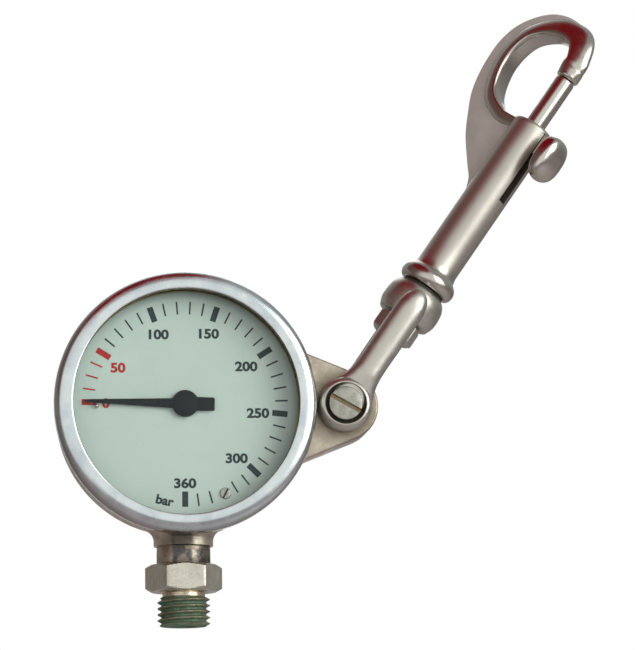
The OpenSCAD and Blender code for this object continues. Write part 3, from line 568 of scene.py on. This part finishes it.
dark_marks, red_marks = [], []
for value in range(10, FULL_SCALE + 1, 10):
    if value == HIDDEN_MARK:  # the dial screw is there
        continue
    main = value in (10, FULL_SCALE) or (value % 50 == 0 and value <= 300)
    start, width = (MAIN_START, MAIN_WIDTH) if main else (SMALL_START, SMALL_WIDTH)
    (red_marks if value <= 50 else dark_marks).append(radial_bar(value_angle(value), start, MARKS_END, width))
finish_piece(build("dial_marks_dark", dark_marks, DIAL, [ink_dark.material]), "gauge", "dial_paint")
finish_piece(build("dial_marks_red", red_marks, DIAL, [ink_red.material]), "gauge", "dial_paint")


def text_piece(name, words, cap, x, y, angle, look, squeeze=1.15, weight=0.11):
    curve = bpy.data.curves.new(name, "FONT")
    curve.body = words
    curve.size = cap / 0.73
    curve.align_x = "CENTER"
    curve.align_y = "CENTER"
    curve.offset = weight * cap / 2
    curve.extrude = PRINT_H / 2
    curve.resolution_u = 6
    obj = bpy.data.objects.new(name, curve)
    bpy.context.scene.collection.objects.link(obj)
    bpy.context.view_layer.update()
    depsgraph = bpy.context.evaluated_depsgraph_get()
    mesh = bpy.data.meshes.new_from_object(obj.evaluated_get(depsgraph))
    bpy.data.objects.remove(obj)
    xs = [v.co.x for v in mesh.vertices]
    ys = [v.co.y for v in mesh.vertices]
    middle = Vector(((min(xs) + max(xs)) / 2, (min(ys) + max(ys)) / 2, 0))
    mesh.transform(DIAL @ Matrix.Translation((x, y, dial_top + PRINT_H / 2 - 0.005))
                   @ Matrix.Rotation(radians(angle), 4, "Z") @ Matrix.Diagonal((squeeze, 1, 1, 1))
                   @ Matrix.Translation(-middle))
    mesh.materials.clear()
    mesh.materials.append(look.material)
    made = bpy.data.objects.new(name, mesh)
    bpy.context.scene.collection.objects.link(made)
    finish_piece(made, "gauge", "dial_paint")


NUMERAL_RADII = {0: 16.7, 50: 16.1, 100: 16.1, 150: 16.2, 200: 15.5, 250: 15.5, 300: 15.6, 360: 16.4}
NUMERAL_SHIFTS = {50: (-0.4, -0.8), 300: (-0.35, -0.65)}
for value, r in NUMERAL_RADII.items():
    a = radians(value_angle(value or ZERO_STANDS_AT))
    aside, drop = NUMERAL_SHIFTS.get(value, (0, -0.38))
    text_piece(f"numeral_{value}", str(value), 2.0, r * cos(a) + aside, r * sin(a) + drop, 0,
               ink_red if value <= 50 else ink_dark)
text_piece("unit_word", "bar", 1.95, 20.9 * cos(radians(-102)), 20.9 * sin(radians(-102)), -12, ink_dark, 1.05)

screw_low, screw_high = local("dial_screw", DIAL)
sx, sy = (screw_low.x + screw_high.x) / 2, (screw_low.y + screw_high.y) / 2
head_r = (screw_high.x - screw_low.x) / 2
head = build("dial_screw_head", [turned(lathe(
    [(0, screw_low.z), (0.78, screw_low.z), (0.78, dial_top), (head_r, dial_top), (head_r, screw_high.z - 0.18)]
    + arc(head_r - 0.16, screw_high.z - 0.16, 0.16, 0, 90, 4) + [(0, screw_high.z + 0.02)], 48), 0, (sx, sy, 0))],
    DIAL, [screw_steel.material])
slot_floor = screw_high.z - 0.32
cut(head, turned(bar(-2, 2, -0.2, 0.2, slot_floor, screw_high.z + 1), 62, (sx, sy, 0)), DIAL)
# The slot's floor is painted dark, a painted shade
paint_faces(head, recess_shade, lambda c: abs((DIAL.inverted() @ c).z - slot_floor) < 0.02)
finish_piece(head, "gauge", "bright_screw", "dial_screw")

pin_low, pin_high = local("stop_pin", DIAL)
px, py = (pin_low.x + pin_high.x) / 2, (pin_low.y + pin_high.y) / 2
pin_r = (pin_high.x - pin_low.x) / 2
stop = build("stop_stud", [turned(lathe(
    [(0, pin_low.z), (pin_r, pin_low.z), (pin_r, pin_high.z - pin_r)]
    + arc(0, pin_high.z - pin_r, pin_r, 10, 90, 6), 32), 0, (px, py, 0))], DIAL, [polished.material])
finish_piece(stop, "gauge", "bright_screw", "stop_pin")


# ---------------------------------------------------------------- pointer

p_low, p_high = local("pointer", DIAL)
tip_length = max(-p_low.x, p_high.x)
NEEDLE_DIRECTION = 178.5
DRAWN_TIP = 21.2
z0, z1 = p_low.z, p_high.z - 0.2
needle_rings = []
for x, half, rise in [(-6.2, 1.2, 0.0), (-6.0, 1.42, 0.02), (-2.0, 1.45, 0.02), (0.5, 1.3, 0.02), (3.0, 1.03, 0.0),
                      (9.0, 0.8, 0.0), (15.0, 0.56, 0.0), (20.4, 0.34, 0.0), (21.1, 0.2, 0.0), (21.2, 0.06, 0.0)]:
    x = x * tip_length / DRAWN_TIP if x > 0 else x
    needle_rings.append([(x, -half, z0 + 0.1), (x, -half + 0.03, z0), (x, half - 0.03, z0), (x, half, z0 + 0.1),
                         (x, half * 0.86, z1 - 0.12), (x, 0, z1 + rise), (x, -half * 0.86, z1 - 0.12)])
hub = lathe([(0, z0), (2.6, z0), (2.85, z0 + 0.15)] + spline(
    [(2.85, z0 + 0.28), (2.66, p_high.z - 0.26), (1.9, p_high.z - 0.06), (0.9, p_high.z), (0.0, p_high.z)], 4), 72)
needle = build("pointer_needle", [turned(loft(needle_rings), NEEDLE_DIRECTION), hub], DIAL, [black_satin.material], 25)
finish_piece(needle, "pointer", "pointer_black", "pointer")


# ---------------------------------------------------------------- stem with its helical thread

stem_low, stem_high = local("connection_stem", ROW)
start_z, top_z = stem_low.z + 0.3, stem_high.z
PITCH, CREST_R, DEPTH = 1.27, 5.555, 0.779
THREAD_TOP, HEX_Z, HEX_H, HEX_AF = 5.4, 6.65, 5.7, 14.29
LAND_R, LAND_TOP = 5.7, 16.3
shapes = []
n, steps = 96, 170
rings = []
for i in range(steps + 1):
    z = start_z + (THREAD_TOP + 0.1 - start_z) * i / steps
    ring = []
    for k in range(n):
        t = 2 * pi * k / n
        phase = ((z / PITCH) - k / n) % 1.0
        ramp = min(max((abs(phase - 0.5) - 0.125) / 0.3125, 0.0), 1.0)
        r = CREST_R - DEPTH * (1 - ramp)
        r = min(r, CREST_R + z if z < 0 else CREST_R)
        if z > THREAD_TOP - 0.35:
            r = min(r, CREST_R - (z - THREAD_TOP + 0.35) * 1.6)
        ring.append((r * cos(t), r * sin(t), z))
    rings.append(ring)
SPOOL_R = 2.2
bore = [circle(r, z, n) for r, z in ((0.3, 7.1), (SPOOL_R, 7.1), (SPOOL_R, start_z + 0.35),
                                     (SPOOL_R + 0.35, start_z), (4.45, start_z))]
whole = loft(bore + rings, caps=False)
shapes.append((whole[0], whole[1], 0))
relief_r = CREST_R - DEPTH - 0.25
shapes.append((*lathe([(4.0, THREAD_TOP - 0.2), (relief_r + 0.35, THREAD_TOP), (relief_r, THREAD_TOP + 0.25),
                       (relief_r, HEX_Z - 0.25), (relief_r + 0.3, HEX_Z + 0.02)], n), 1))
CORNER_STEPS = 12
# Directions round a hexagon, closer together near its corners
HEX_ANGLES = [60 * side + 30 + 60 * (0.5 - 0.5 * cos(pi * s / CORNER_STEPS))
              for side in range(6) for s in range(CORNER_STEPS)]


def hex_radius(a, af, corner=0.6):
    """Distance from a hexagon's axis to its wall, whose corners are rounded."""
    d = radians(abs((a % 60) - 30))
    middle = af / 2 - corner
    if af / 2 * math.tan(d) < middle * math.tan(pi / 6):
        return af / 2 / cos(d)
    reach, off = middle / cos(pi / 6), pi / 6 - d
    return reach * cos(off) + math.sqrt(corner ** 2 - (reach * sin(off)) ** 2)


def hex_ring(z, af, limit):
    """A hexagonal bar's section at a height, no wider than the limit that a chamfer sets."""
    ring = []
    for a in HEX_ANGLES:
        r = min(hex_radius(a - 30, af), limit)
        ring.append((r * cos(radians(a - 30)), r * sin(radians(a - 30)), z))
    return ring


hex_rings = []
heights = [HEX_Z, HEX_Z + 0.05] + [HEX_Z + 0.05 + 1.1 * i / 9 for i in range(1, 10)]
heights += [HEX_Z + HEX_H - 1.1 + 1.1 * i / 9 for i in range(10)]
for z in heights:
    up, down = z - HEX_Z, HEX_Z + HEX_H - z
    limit = min(HEX_AF / 2 - 0.25 + 1.75 * up, HEX_AF / 2 - 0.12 + 1.75 * down)
    hex_rings.append(hex_ring(z, HEX_AF, limit))
shapes.append((*loft(hex_rings), 2))
land_z = HEX_Z + HEX_H
land = [(4.5, land_z - 0.1), (LAND_R - 0.1, land_z), (LAND_R, land_z + 0.2), (LAND_R, land_z + 1.9),
        (LAND_R - 0.03, LAND_TOP - 0.25), (LAND_R - 0.12, LAND_TOP), (4.4, LAND_TOP), (4.4, top_z - 3.3),
        (2.5, top_z - 3.3), (2.5, top_z), (0, top_z)]
shapes.append((*lathe(land, n), 3))
stem = build("threaded_stem", shapes, ROW,
             [look.material for look in (thread, gilt, worn_nickel, land_steel)], 28)
finish_piece(stem, "gauge", "nickel_stem", "connection_stem")


# ---------------------------------------------------------------- fork, with its crown, legs and eyes

fork_high = local("fork", ARM)[1]
leg_in, leg_out, top = 5.4, fork_high.y, fork_high.z
EYE_R, BOLT_R, CROWN_H = 5.8, 2.25, 7.6
crown_low = top - CROWN_H
crown = lathe([(BOLT_R + 0.05, crown_low), (4.7, crown_low)] + arc(5.3, crown_low + 0.7, 0.7, -85, -20, 5)
              + spline([(6.3, crown_low + 1.3), (6.55, crown_low + 2.2), (6.6, crown_low + 3.6),
                        (6.45, top - 2.3), (6.05, top - 1.2), (5.5, top - 0.4), (4.9, top - 0.02)], 4)
              + [(4.6, top), (BOLT_R + 0.05, top)], 128, close=True)
fork_shapes = [crown]
LEG = 3.2
FORK_LENGTH = 31.0


def leg(side):
    """A round-fronted bar from the eye to the crown, whose upper end stands proud of the crown."""
    rings = []
    stations = [(1.0, 4.6, 0.86), (3.6, 4.55, 0.86), (5.0, 4.1, 0.9), (6.4, 3.6, 0.95), (8.2, 3.28, 1.0),
                (11.0, 3.15, 1.0), (16.0, LEG, 1.0), (21.0, LEG, 1.0), (24.5, LEG, 0.99), (26.3, 3.0, 0.95),
                (27.8, 2.5, 0.87), (28.8, 1.8, 0.76), (29.35, 1.0, 0.64), (29.5, 0.2, 0.55)]
    for z, half, proud in spline(stations, 4):
        depth = (leg_out - leg_in) * proud
        ring = []
        for k in range(40):
            t = 2 * pi * k / 40
            c, s = cos(t), sin(t)
            x = half * power_of(c, 0.8)
            y = (leg_in + depth * 0.42) + (depth * 0.58 * abs(s) ** 0.95 if s > 0 else -depth * 0.42 * abs(s) ** 0.5)
            ring.append((x, side * y, z * top / FORK_LENGTH))
        rings.append(ring)
    return loft(rings)


RECESS_R, RECESS = 4.38, 1.6


def eye(side, open_recess):
    """The turned eye at a leg's end. The outer face has the screw's recess."""
    y0, y1 = leg_in, leg_out
    outer = [(y1 - 2.0, EYE_R), (y1 - 1.2, EYE_R - 0.12), (y1 - 0.6, EYE_R - 0.4), (y1 - 0.2, EYE_R - 0.8),
             (y1 - 0.02, EYE_R - 1.15)]
    if open_recess:
        inner = [(y1 - 0.02, RECESS_R + 0.1), (y1 - 0.12, RECESS_R), (y1 - RECESS, RECESS_R), (y1 - RECESS, 2.2)]
    else:
        inner = [(y1, 2.6), (y1 - 0.25, 2.2)]
    points = [(y0, 2.2), (y0, EYE_R - 0.3), (y0 + 0.3, EYE_R)] + outer + inner
    rings = [[(r * cos(2 * pi * k / 96), side * y, r * sin(2 * pi * k / 96)) for k in range(96)] for y, r in points]
    corners, faces = loft(rings, close=True)
    # The recess's wall and floor are painted dark, a painted shade
    first = len(points) - 3 if open_recess else len(points)
    wall = [f for f in faces if first <= f[0] // 96 < len(points) - 1]
    return [(corners, [f for f in faces if f not in wall], 0), (corners, wall, 1)]


fork_shapes += [leg(-1), leg(1), *eye(-1, True), *eye(1, False)[:1]]
fork = build("fork_casting", fork_shapes, ARM, [fork_steel.material, recess_shade.material], 40)
finish_piece(fork, "arm", "stainless_satin", "fork")

d_low, d_high = local("pivot_screw", ARM)
seat = -leg_out + RECESS
head_r = (d_high.x - d_low.x) / 2 + 0.12
screw_profile = [(0, leg_out), (2.0, leg_out), (2.15, leg_out - 0.2), (2.15, seat), (head_r, seat),
                 (head_r, seat - 1.25), (head_r - 0.1, seat - 1.38), (head_r - 0.35, seat - 1.44), (0, seat - 1.46)]
TO_VIEWER = Matrix(((1, 0, 0, 0), (0, 0, 1, 0), (0, 1, 0, 0), (0, 0, 0, 1)))
pivot_screw = build("pivot_screw_head", [moved(lathe(screw_profile, 96), TO_VIEWER)], ARM, [screw_steel.material], 30)
slot_turn = -29 - (math.degrees(math.atan2(arm.z, arm.x)) - 90)
cut(pivot_screw, moved(bar(-5, 5, -0.5, 0.5, seat - 3, seat - 0.5),
                       TO_VIEWER @ Matrix.Rotation(radians(slot_turn), 4, "Z")), ARM, 30)
# The slot's floor is painted dark gold-brown, a painted shade
paint_faces(pivot_screw, painted_brown_shade, lambda c: abs(c.y / MM - (seat - 0.5)) < 0.02)
finish_piece(pivot_screw, "arm", "bright_screw", "pivot_screw")


# ---------------------------------------------------------------- swivel bolt

b_low, b_high = local("swivel_bolt", SNAP)
BOLT_AF = 8.9
head_top = -CROWN_H - 0.4
head_h = head_top - b_low.z
rings = []
for z in [0, 0.04] + [0.04 + 1.0 * i / 8 for i in range(1, 9)] + [head_h - 0.5, head_h - 0.2, head_h]:
    limit = BOLT_AF / 2 - 0.3 + 1.3 * z
    if z > head_h - 0.3:
        limit = min(limit, BOLT_AF / 2 / cos(radians(30)) - 0.05 - 1.6 * (z - head_h + 0.3))
    rings.append(hex_ring(b_low.z + z, BOLT_AF, limit))
shank = lathe([(2.2, head_top - 0.1), (BOLT_R, head_top), (BOLT_R, 9.3), (1.8, b_high.z), (0, b_high.z)], 64)
bolt = build("swivel_bolt_head", [loft(rings), shank], SNAP, [fork_steel.material], 30)
finish_piece(bolt, "snap", "stainless_satin", "swivel_bolt")


# ---------------------------------------------------------------- snap: barrel, hook and fin

barrel_r = 4.6
pl_low, pl_high = local("plunger", SNAP)
collar_z = local("snap_body", SNAP)[0].z
mouth = 43.8
tip_z = pl_high.z + 0.15
bore_r = 2.3
slot_low, slot_top = 25.2, mouth - 0.8
profile = [(2.25, 9.5), (2.25, collar_z), (4.7, collar_z)] + spline(
    [(5.1, collar_z + 0.02), (5.75, collar_z + 0.3), (6.2, collar_z + 1.05), (6.3, collar_z + 1.9),
     (6.12, collar_z + 2.75), (5.6, collar_z + 3.45), (5.05, collar_z + 4.0), (4.78, collar_z + 4.7),
     (barrel_r, collar_z + 5.6)], 5)
profile += [(barrel_r, 12), (barrel_r, 24), (barrel_r, 36), (barrel_r, mouth - 0.9)]
profile += spline([(barrel_r - 0.02, mouth - 0.7), (barrel_r - 0.35, mouth - 0.16), (barrel_r - 0.9, mouth)], 4)
profile += [(bore_r + 0.3, mouth), (bore_r, mouth - 0.3), (bore_r, 12.8), (2.25, 12.8)]
barrel = build("snap_barrel", [lathe(profile, 96, close=True)], SNAP, [barrel_steel.material], 35)
cut(barrel, bar(1.0, 8.0, -1.0, 1.0, slot_low, slot_top), SNAP, 35)
# The bore's walls are painted dark, a painted shade inside the hole
paint_faces(barrel, recess_shade, lambda c: (SNAP.inverted() @ c).xy.length < bore_r + 0.1)
finish_piece(barrel, "snap", "stainless_satin", "snap_body")

# The raised rim of the hook: x and z of its middle, half width in the plane, half depth, squareness
RIM = [(-0.6, -2.4, 1.3, 1.9, 2.4), (-4.4, -1.5, 1.6, 2.2, 2.4), (-9.5, -0.8, 1.8, 2.45, 2.4),
       (-15.2, 3.1, 1.95, 2.6, 2.4), (-17.85, 11.4, 2.15, 2.6, 2.4), (-15.8, 19.0, 2.4, 2.6, 2.35),
       (-9.3, 22.9, 2.8, 2.6, 2.3), (-2.5, 22.0, 2.85, 2.7, 2.2), (0.25, 17.6, 2.45, 2.75, 2.1),
       (0.1, 15.2, 2.75, 2.75, 2.05), (0.0, 13.2, 2.6, 2.6, 2.0)]
rim_points = spline(RIM, 12)
rings = []
for i, (x, z, half, deep, square) in enumerate(rim_points):
    before, after = rim_points[max(i - 1, 0)], rim_points[min(i + 1, len(rim_points) - 1)]
    along = Vector((after[0] - before[0], after[1] - before[1])).normalized()
    if i == len(rim_points) - 1:
        along = Vector((0, -1))
    across = Vector((along.y, -along.x))
    share = i / (len(rim_points) - 1)
    lean = 0.6 * min(share / 0.1, (1 - share) / 0.18, 1.0)
    ring = []
    for k in range(40):
        t = 2 * pi * k / 40
        c, s = cos(t), sin(t)
        power = 2 / square if c > 0 else 2 / (square - 0.75 * lean)
        u = half * (lean + (1 - lean if c > 0 else 1 + lean) * power_of(c, power))
        v = deep * power_of(s, power)
        ring.append((x + across.x * u, v, mouth + z + across.y * u))
    rings.append(ring)
last = rings[-1]
for drop, share in ((0.25, 0.97), (0.5, 0.9), (0.64, 0.8)):
    rings.append([(x * share, y * share, tip_z + 0.7 - drop) for x, y, _ in last])
rings.append([(x * 0.72, y * 0.72, tip_z) for x, y, _ in last])
hook = build("snap_hook_rim", [loft(rings)], SNAP, [satin.material], 50)
finish_piece(hook, "snap", "stainless_satin")

FIN = [(-4.2, -21.6), (-6.1, -17.0), (-8.9, -13.9), (-14.0, -8.2), (-17.5, -2.8), (-19.9, 1.6), (-21.2, 6.2),
       (-21.7, 10.4), (-21.6, 14.9), (-20.1, 19.3), (-17.0, 22.8), (-13.1, 25.1), (-8.9, 25.8),
       (-4.8, 25.2), (-1.3, 23.2), (1.1, 20.0)]
outer = spline(FIN, 6)
inner = [(x, z) for x, z, *_ in reversed(rim_points[2:-14])]
outline = [(x, mouth + z) for x, z in [*outer, *inner]] + [(-1.5, mouth - 3), (-1.5, mouth - 20)]
SIDEWAYS = Matrix(((1, 0, 0, 0), (0, 0, -1, 0), (0, 1, 0, 0), (0, 0, 0, 1)))
fin = build("snap_fin", [moved(prism(outline, -1.3, 1.3), SIDEWAYS)], SNAP, [matte.material], 40)
bevel(fin, 0.45, 3)
finish_piece(fin, "snap", "stainless_satin")

plunger_r = 2.25
shape = lathe([(0, pl_low.z), (plunger_r - 0.3, pl_low.z), (plunger_r, pl_low.z + 0.3), (plunger_r, mouth - 0.8),
               (plunger_r, pl_high.z - 0.45)] + arc(plunger_r - 0.45, pl_high.z - 0.45, 0.45, 10, 90, 4)
              + [(0, pl_high.z)], 72)
# The plunger's lower end, inside the barrel, is painted dark, a painted shade
hidden = [f for f in shape[1] if f[0] // 72 < 3]
plunger = build("plunger_rod", [(shape[0], [f for f in shape[1] if f not in hidden], 0), (shape[0], hidden, 1)], SNAP,
                [polished.material, recess_shade.material], 35)
finish_piece(plunger, "plunger", "stainless_bright", "plunger")

coil_low, coil_high = local("plunger_spring", SNAP)
WIRE, TURNS, SPRING_TRAVEL = 0.3, 9, 12.4
coil_r = coil_high.x - WIRE
spring_length = coil_high.z - coil_low.z
rings = []
for i in range(TURNS * 36 + 1):
    share, t = i / (TURNS * 36), 2 * pi * i / 36
    z = coil_low.z + WIRE + (spring_length - 2 * WIRE) * share
    rings.append([((coil_r + WIRE * cos(b)) * cos(t), (coil_r + WIRE * cos(b)) * sin(t), z + WIRE * sin(b))
                  for b in [2 * pi * j / 12 for j in range(12)]])
spring = build("gate_spring", [loft(rings)], SNAP, [tool_steel.material], 60)
finish_piece(spring, "snap", "spring_steel", "plunger_spring")
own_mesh(spring)

blade_z1 = slot_top - 0.2
blade_z0 = blade_z1 - 4.9
knob_x, knob_z, knob_r = barrel_r + 3.1, blade_z0 + 0.5, 4.7
blade = loft([[(x, s * hy, z) for s, z in ((-1, z0), (1, z0), (1, z1), (-1, z1))]
              for x, hy, z0, z1 in ((0.6, 0.85, blade_z0, blade_z1), (barrel_r + 0.3, 0.85, blade_z0, blade_z1),
                                    (knob_x - 0.9, 1.0, blade_z0 - 0.5, blade_z1),
                                    (knob_x - 0.1, 1.6, blade_z0 - 1.6, blade_z1 + 0.1))])
mushroom_rings = []
for r, h in [(2.6, -0.4), (3.7, -0.36)] + spline([(4.2, -0.3), (4.58, 0.0), (knob_r, 0.55), (4.62, 1.5), (4.2, 2.4),
                                                  (3.2, 3.0), (1.7, 3.34), (0.4, 3.4)], 5):
    ring = []
    for k in range(72):
        c, s = cos(2 * pi * k / 72), sin(2 * pi * k / 72)
        ring.append((knob_x + h, 0.84 * r * power_of(s, 0.8), knob_z - 0.35 + 1.1 * r * power_of(c, 0.8)))
    mushroom_rings.append(ring)
mushroom = loft(mushroom_rings)
knob = build("thumb_stud", [blade, mushroom], SNAP, [polished.material], 38)
finish_piece(knob, "plunger", "stainless_bright", "thumb_knob")


# ---------------------------------------------------------------- camera, stage and lights

# The view, which was fitted to the photograph at the rest pose
target = Vector((0.02905, 0.0, 0.06378))
toward = Vector((-0.10625, -0.98379, -0.14446)).normalized()
right = Vector((0, 0, 1)).cross(toward).normalized()
up = toward.cross(right)
roll = radians(-0.662)
right, up = right * cos(roll) + up * sin(roll), up * cos(roll) - right * sin(roll)
camera_data = bpy.data.cameras.new("camera")
camera_data.sensor_fit = "VERTICAL"
camera_data.sensor_height = 36.0
camera_data.lens = 259.46
camera_data.clip_start = 0.01
camera = bpy.data.objects.new("camera", camera_data)
camera.matrix_world = Matrix.Translation(target + toward) @ Matrix((right, up, toward)).transposed().to_4x4()
bpy.context.scene.collection.objects.link(camera)
bpy.context.scene.camera = camera


# The floor. Camera rays mostly see its own light, so the coloured world doesn't tint it
FLOOR_GREY = (0.72, 0.73, 0.74)
floor_paint = Shader("floor_paint", FLOOR_GREY, 0.0, 0.8)
floor_paint.blotch(tuple(c * 0.97 for c in FLOOR_GREY), 300.0, 0.4, 0.6, 1.0)
pale = floor_paint.node("ShaderNodeEmission")
pale.inputs["Color"].default_value = (*FLOOR_GREY, 1)
seen = floor_paint.node("ShaderNodeMixShader")
to_camera = floor_paint.node("ShaderNodeLightPath").outputs["Is Camera Ray"]
floor_paint.link(floor_paint.times(to_camera, 0.8), seen.inputs[0])
floor_paint.link(floor_paint.bsdf.outputs[0], seen.inputs[1])
floor_paint.link(pale.outputs[0], seen.inputs[2])
floor_paint.link(seen.outputs[0], floor_paint.tree.nodes["Material Output"].inputs["Surface"])
floor_z, FLOOR_R, FLOOR_THICK = cad_low.z - 0.8, 3.2, 0.02
floor = build("floor", [lathe([(0, floor_z), (FLOOR_R, floor_z), (FLOOR_R, floor_z - FLOOR_THICK),
                               (0, floor_z - FLOOR_THICK)], 96)], Matrix.Identity(4), [floor_paint.material])


def area_light(name, place, size, power, colour):
    data = bpy.data.lights.new(name, "AREA")
    data.energy = power
    data.color = colour
    data.size = size
    obj = bpy.data.objects.new(name, data)
    bpy.context.scene.collection.objects.link(obj)
    aim = (Vector(place) - target).normalized()
    obj.matrix_world = Matrix.Translation(Vector(place)) @ aim.to_track_quat("Z", "Y").to_matrix().to_4x4()
    obj.visible_camera = False


area_light("key", (1.18, -1.05, 0.40), 1.1, 11, (1.0, 0.99, 0.97))
area_light("back", (0.2, 1.6, 1.2), 1.2, 5, (0.95, 0.98, 1.0))

world = bpy.data.worlds.new("studio")
bpy.context.scene.world = world
world.use_nodes = True
wt = world.node_tree
background = wt.nodes["Background"]
direction = wt.nodes.new("ShaderNodeTexCoord").outputs["Generated"]
parts = wt.nodes.new("ShaderNodeSeparateXYZ")
wt.links.new(direction, parts.inputs[0])


def world_span(value, low, high):
    m = wt.nodes.new("ShaderNodeMapRange")
    wt.links.new(value, m.inputs["Value"])
    m.inputs["From Min"].default_value = low
    m.inputs["From Max"].default_value = high
    m.interpolation_type = "SMOOTHSTEP"
    return m.outputs["Result"]


def world_mix(a, b, factor):
    m = wt.nodes.new("ShaderNodeMix")
    m.data_type = "RGBA"
    for k, value in ((6, a), (7, b)):
        if isinstance(value, tuple):
            m.inputs[k].default_value = (*value, 1)
        else:
            wt.links.new(value, m.inputs[k])
    wt.links.new(factor, m.inputs[0])
    return m.outputs[2]


def world_near(aim, low, high):
    """0 to 1 as a direction comes near the aim, by the cosine of the angle between them."""
    near = wt.nodes.new("ShaderNodeVectorMath")
    near.operation = "DOT_PRODUCT"
    near.inputs[1].default_value = Vector(aim).normalized()
    wt.links.new(direction, near.inputs[0])
    return world_span(near.outputs["Value"], low, high)


# A grey room, bright behind the camera, with a dark brown area and the red thing that the metal reflects
WHITE, RED_THING = (1.0, 1.0, 1.0), (0.20, 0.004, 0.007)
room = world_mix((0.15, 0.135, 0.12), (0.36, 0.36, 0.36), world_span(parts.outputs["Z"], -0.5, 0.6))
room = world_mix(room, (0.88, 0.88, 0.87), world_near(toward, 0.30, 0.96))
room = world_mix(room, (0.15, 0.09, 0.08), world_near((-0.80, -0.10, 0.58), 0.74, 0.90))
room = world_mix(room, RED_THING, world_near((-0.22, -0.47, 0.85), 0.875, 0.912))
room = world_mix(room, RED_THING, world_near((-0.20, -0.12, 0.97), 0.84, 0.90))
# The backdrop is white, and pure white to the camera
sky = world_mix(room, WHITE, world_near(-toward, 0.945, 0.968))
sky = world_mix(sky, WHITE, wt.nodes.new("ShaderNodeLightPath").outputs["Is Camera Ray"])
wt.links.new(sky, background.inputs["Color"])
background.inputs["Strength"].default_value = 1.0
bpy.context.scene.view_settings.view_transform = "Standard"
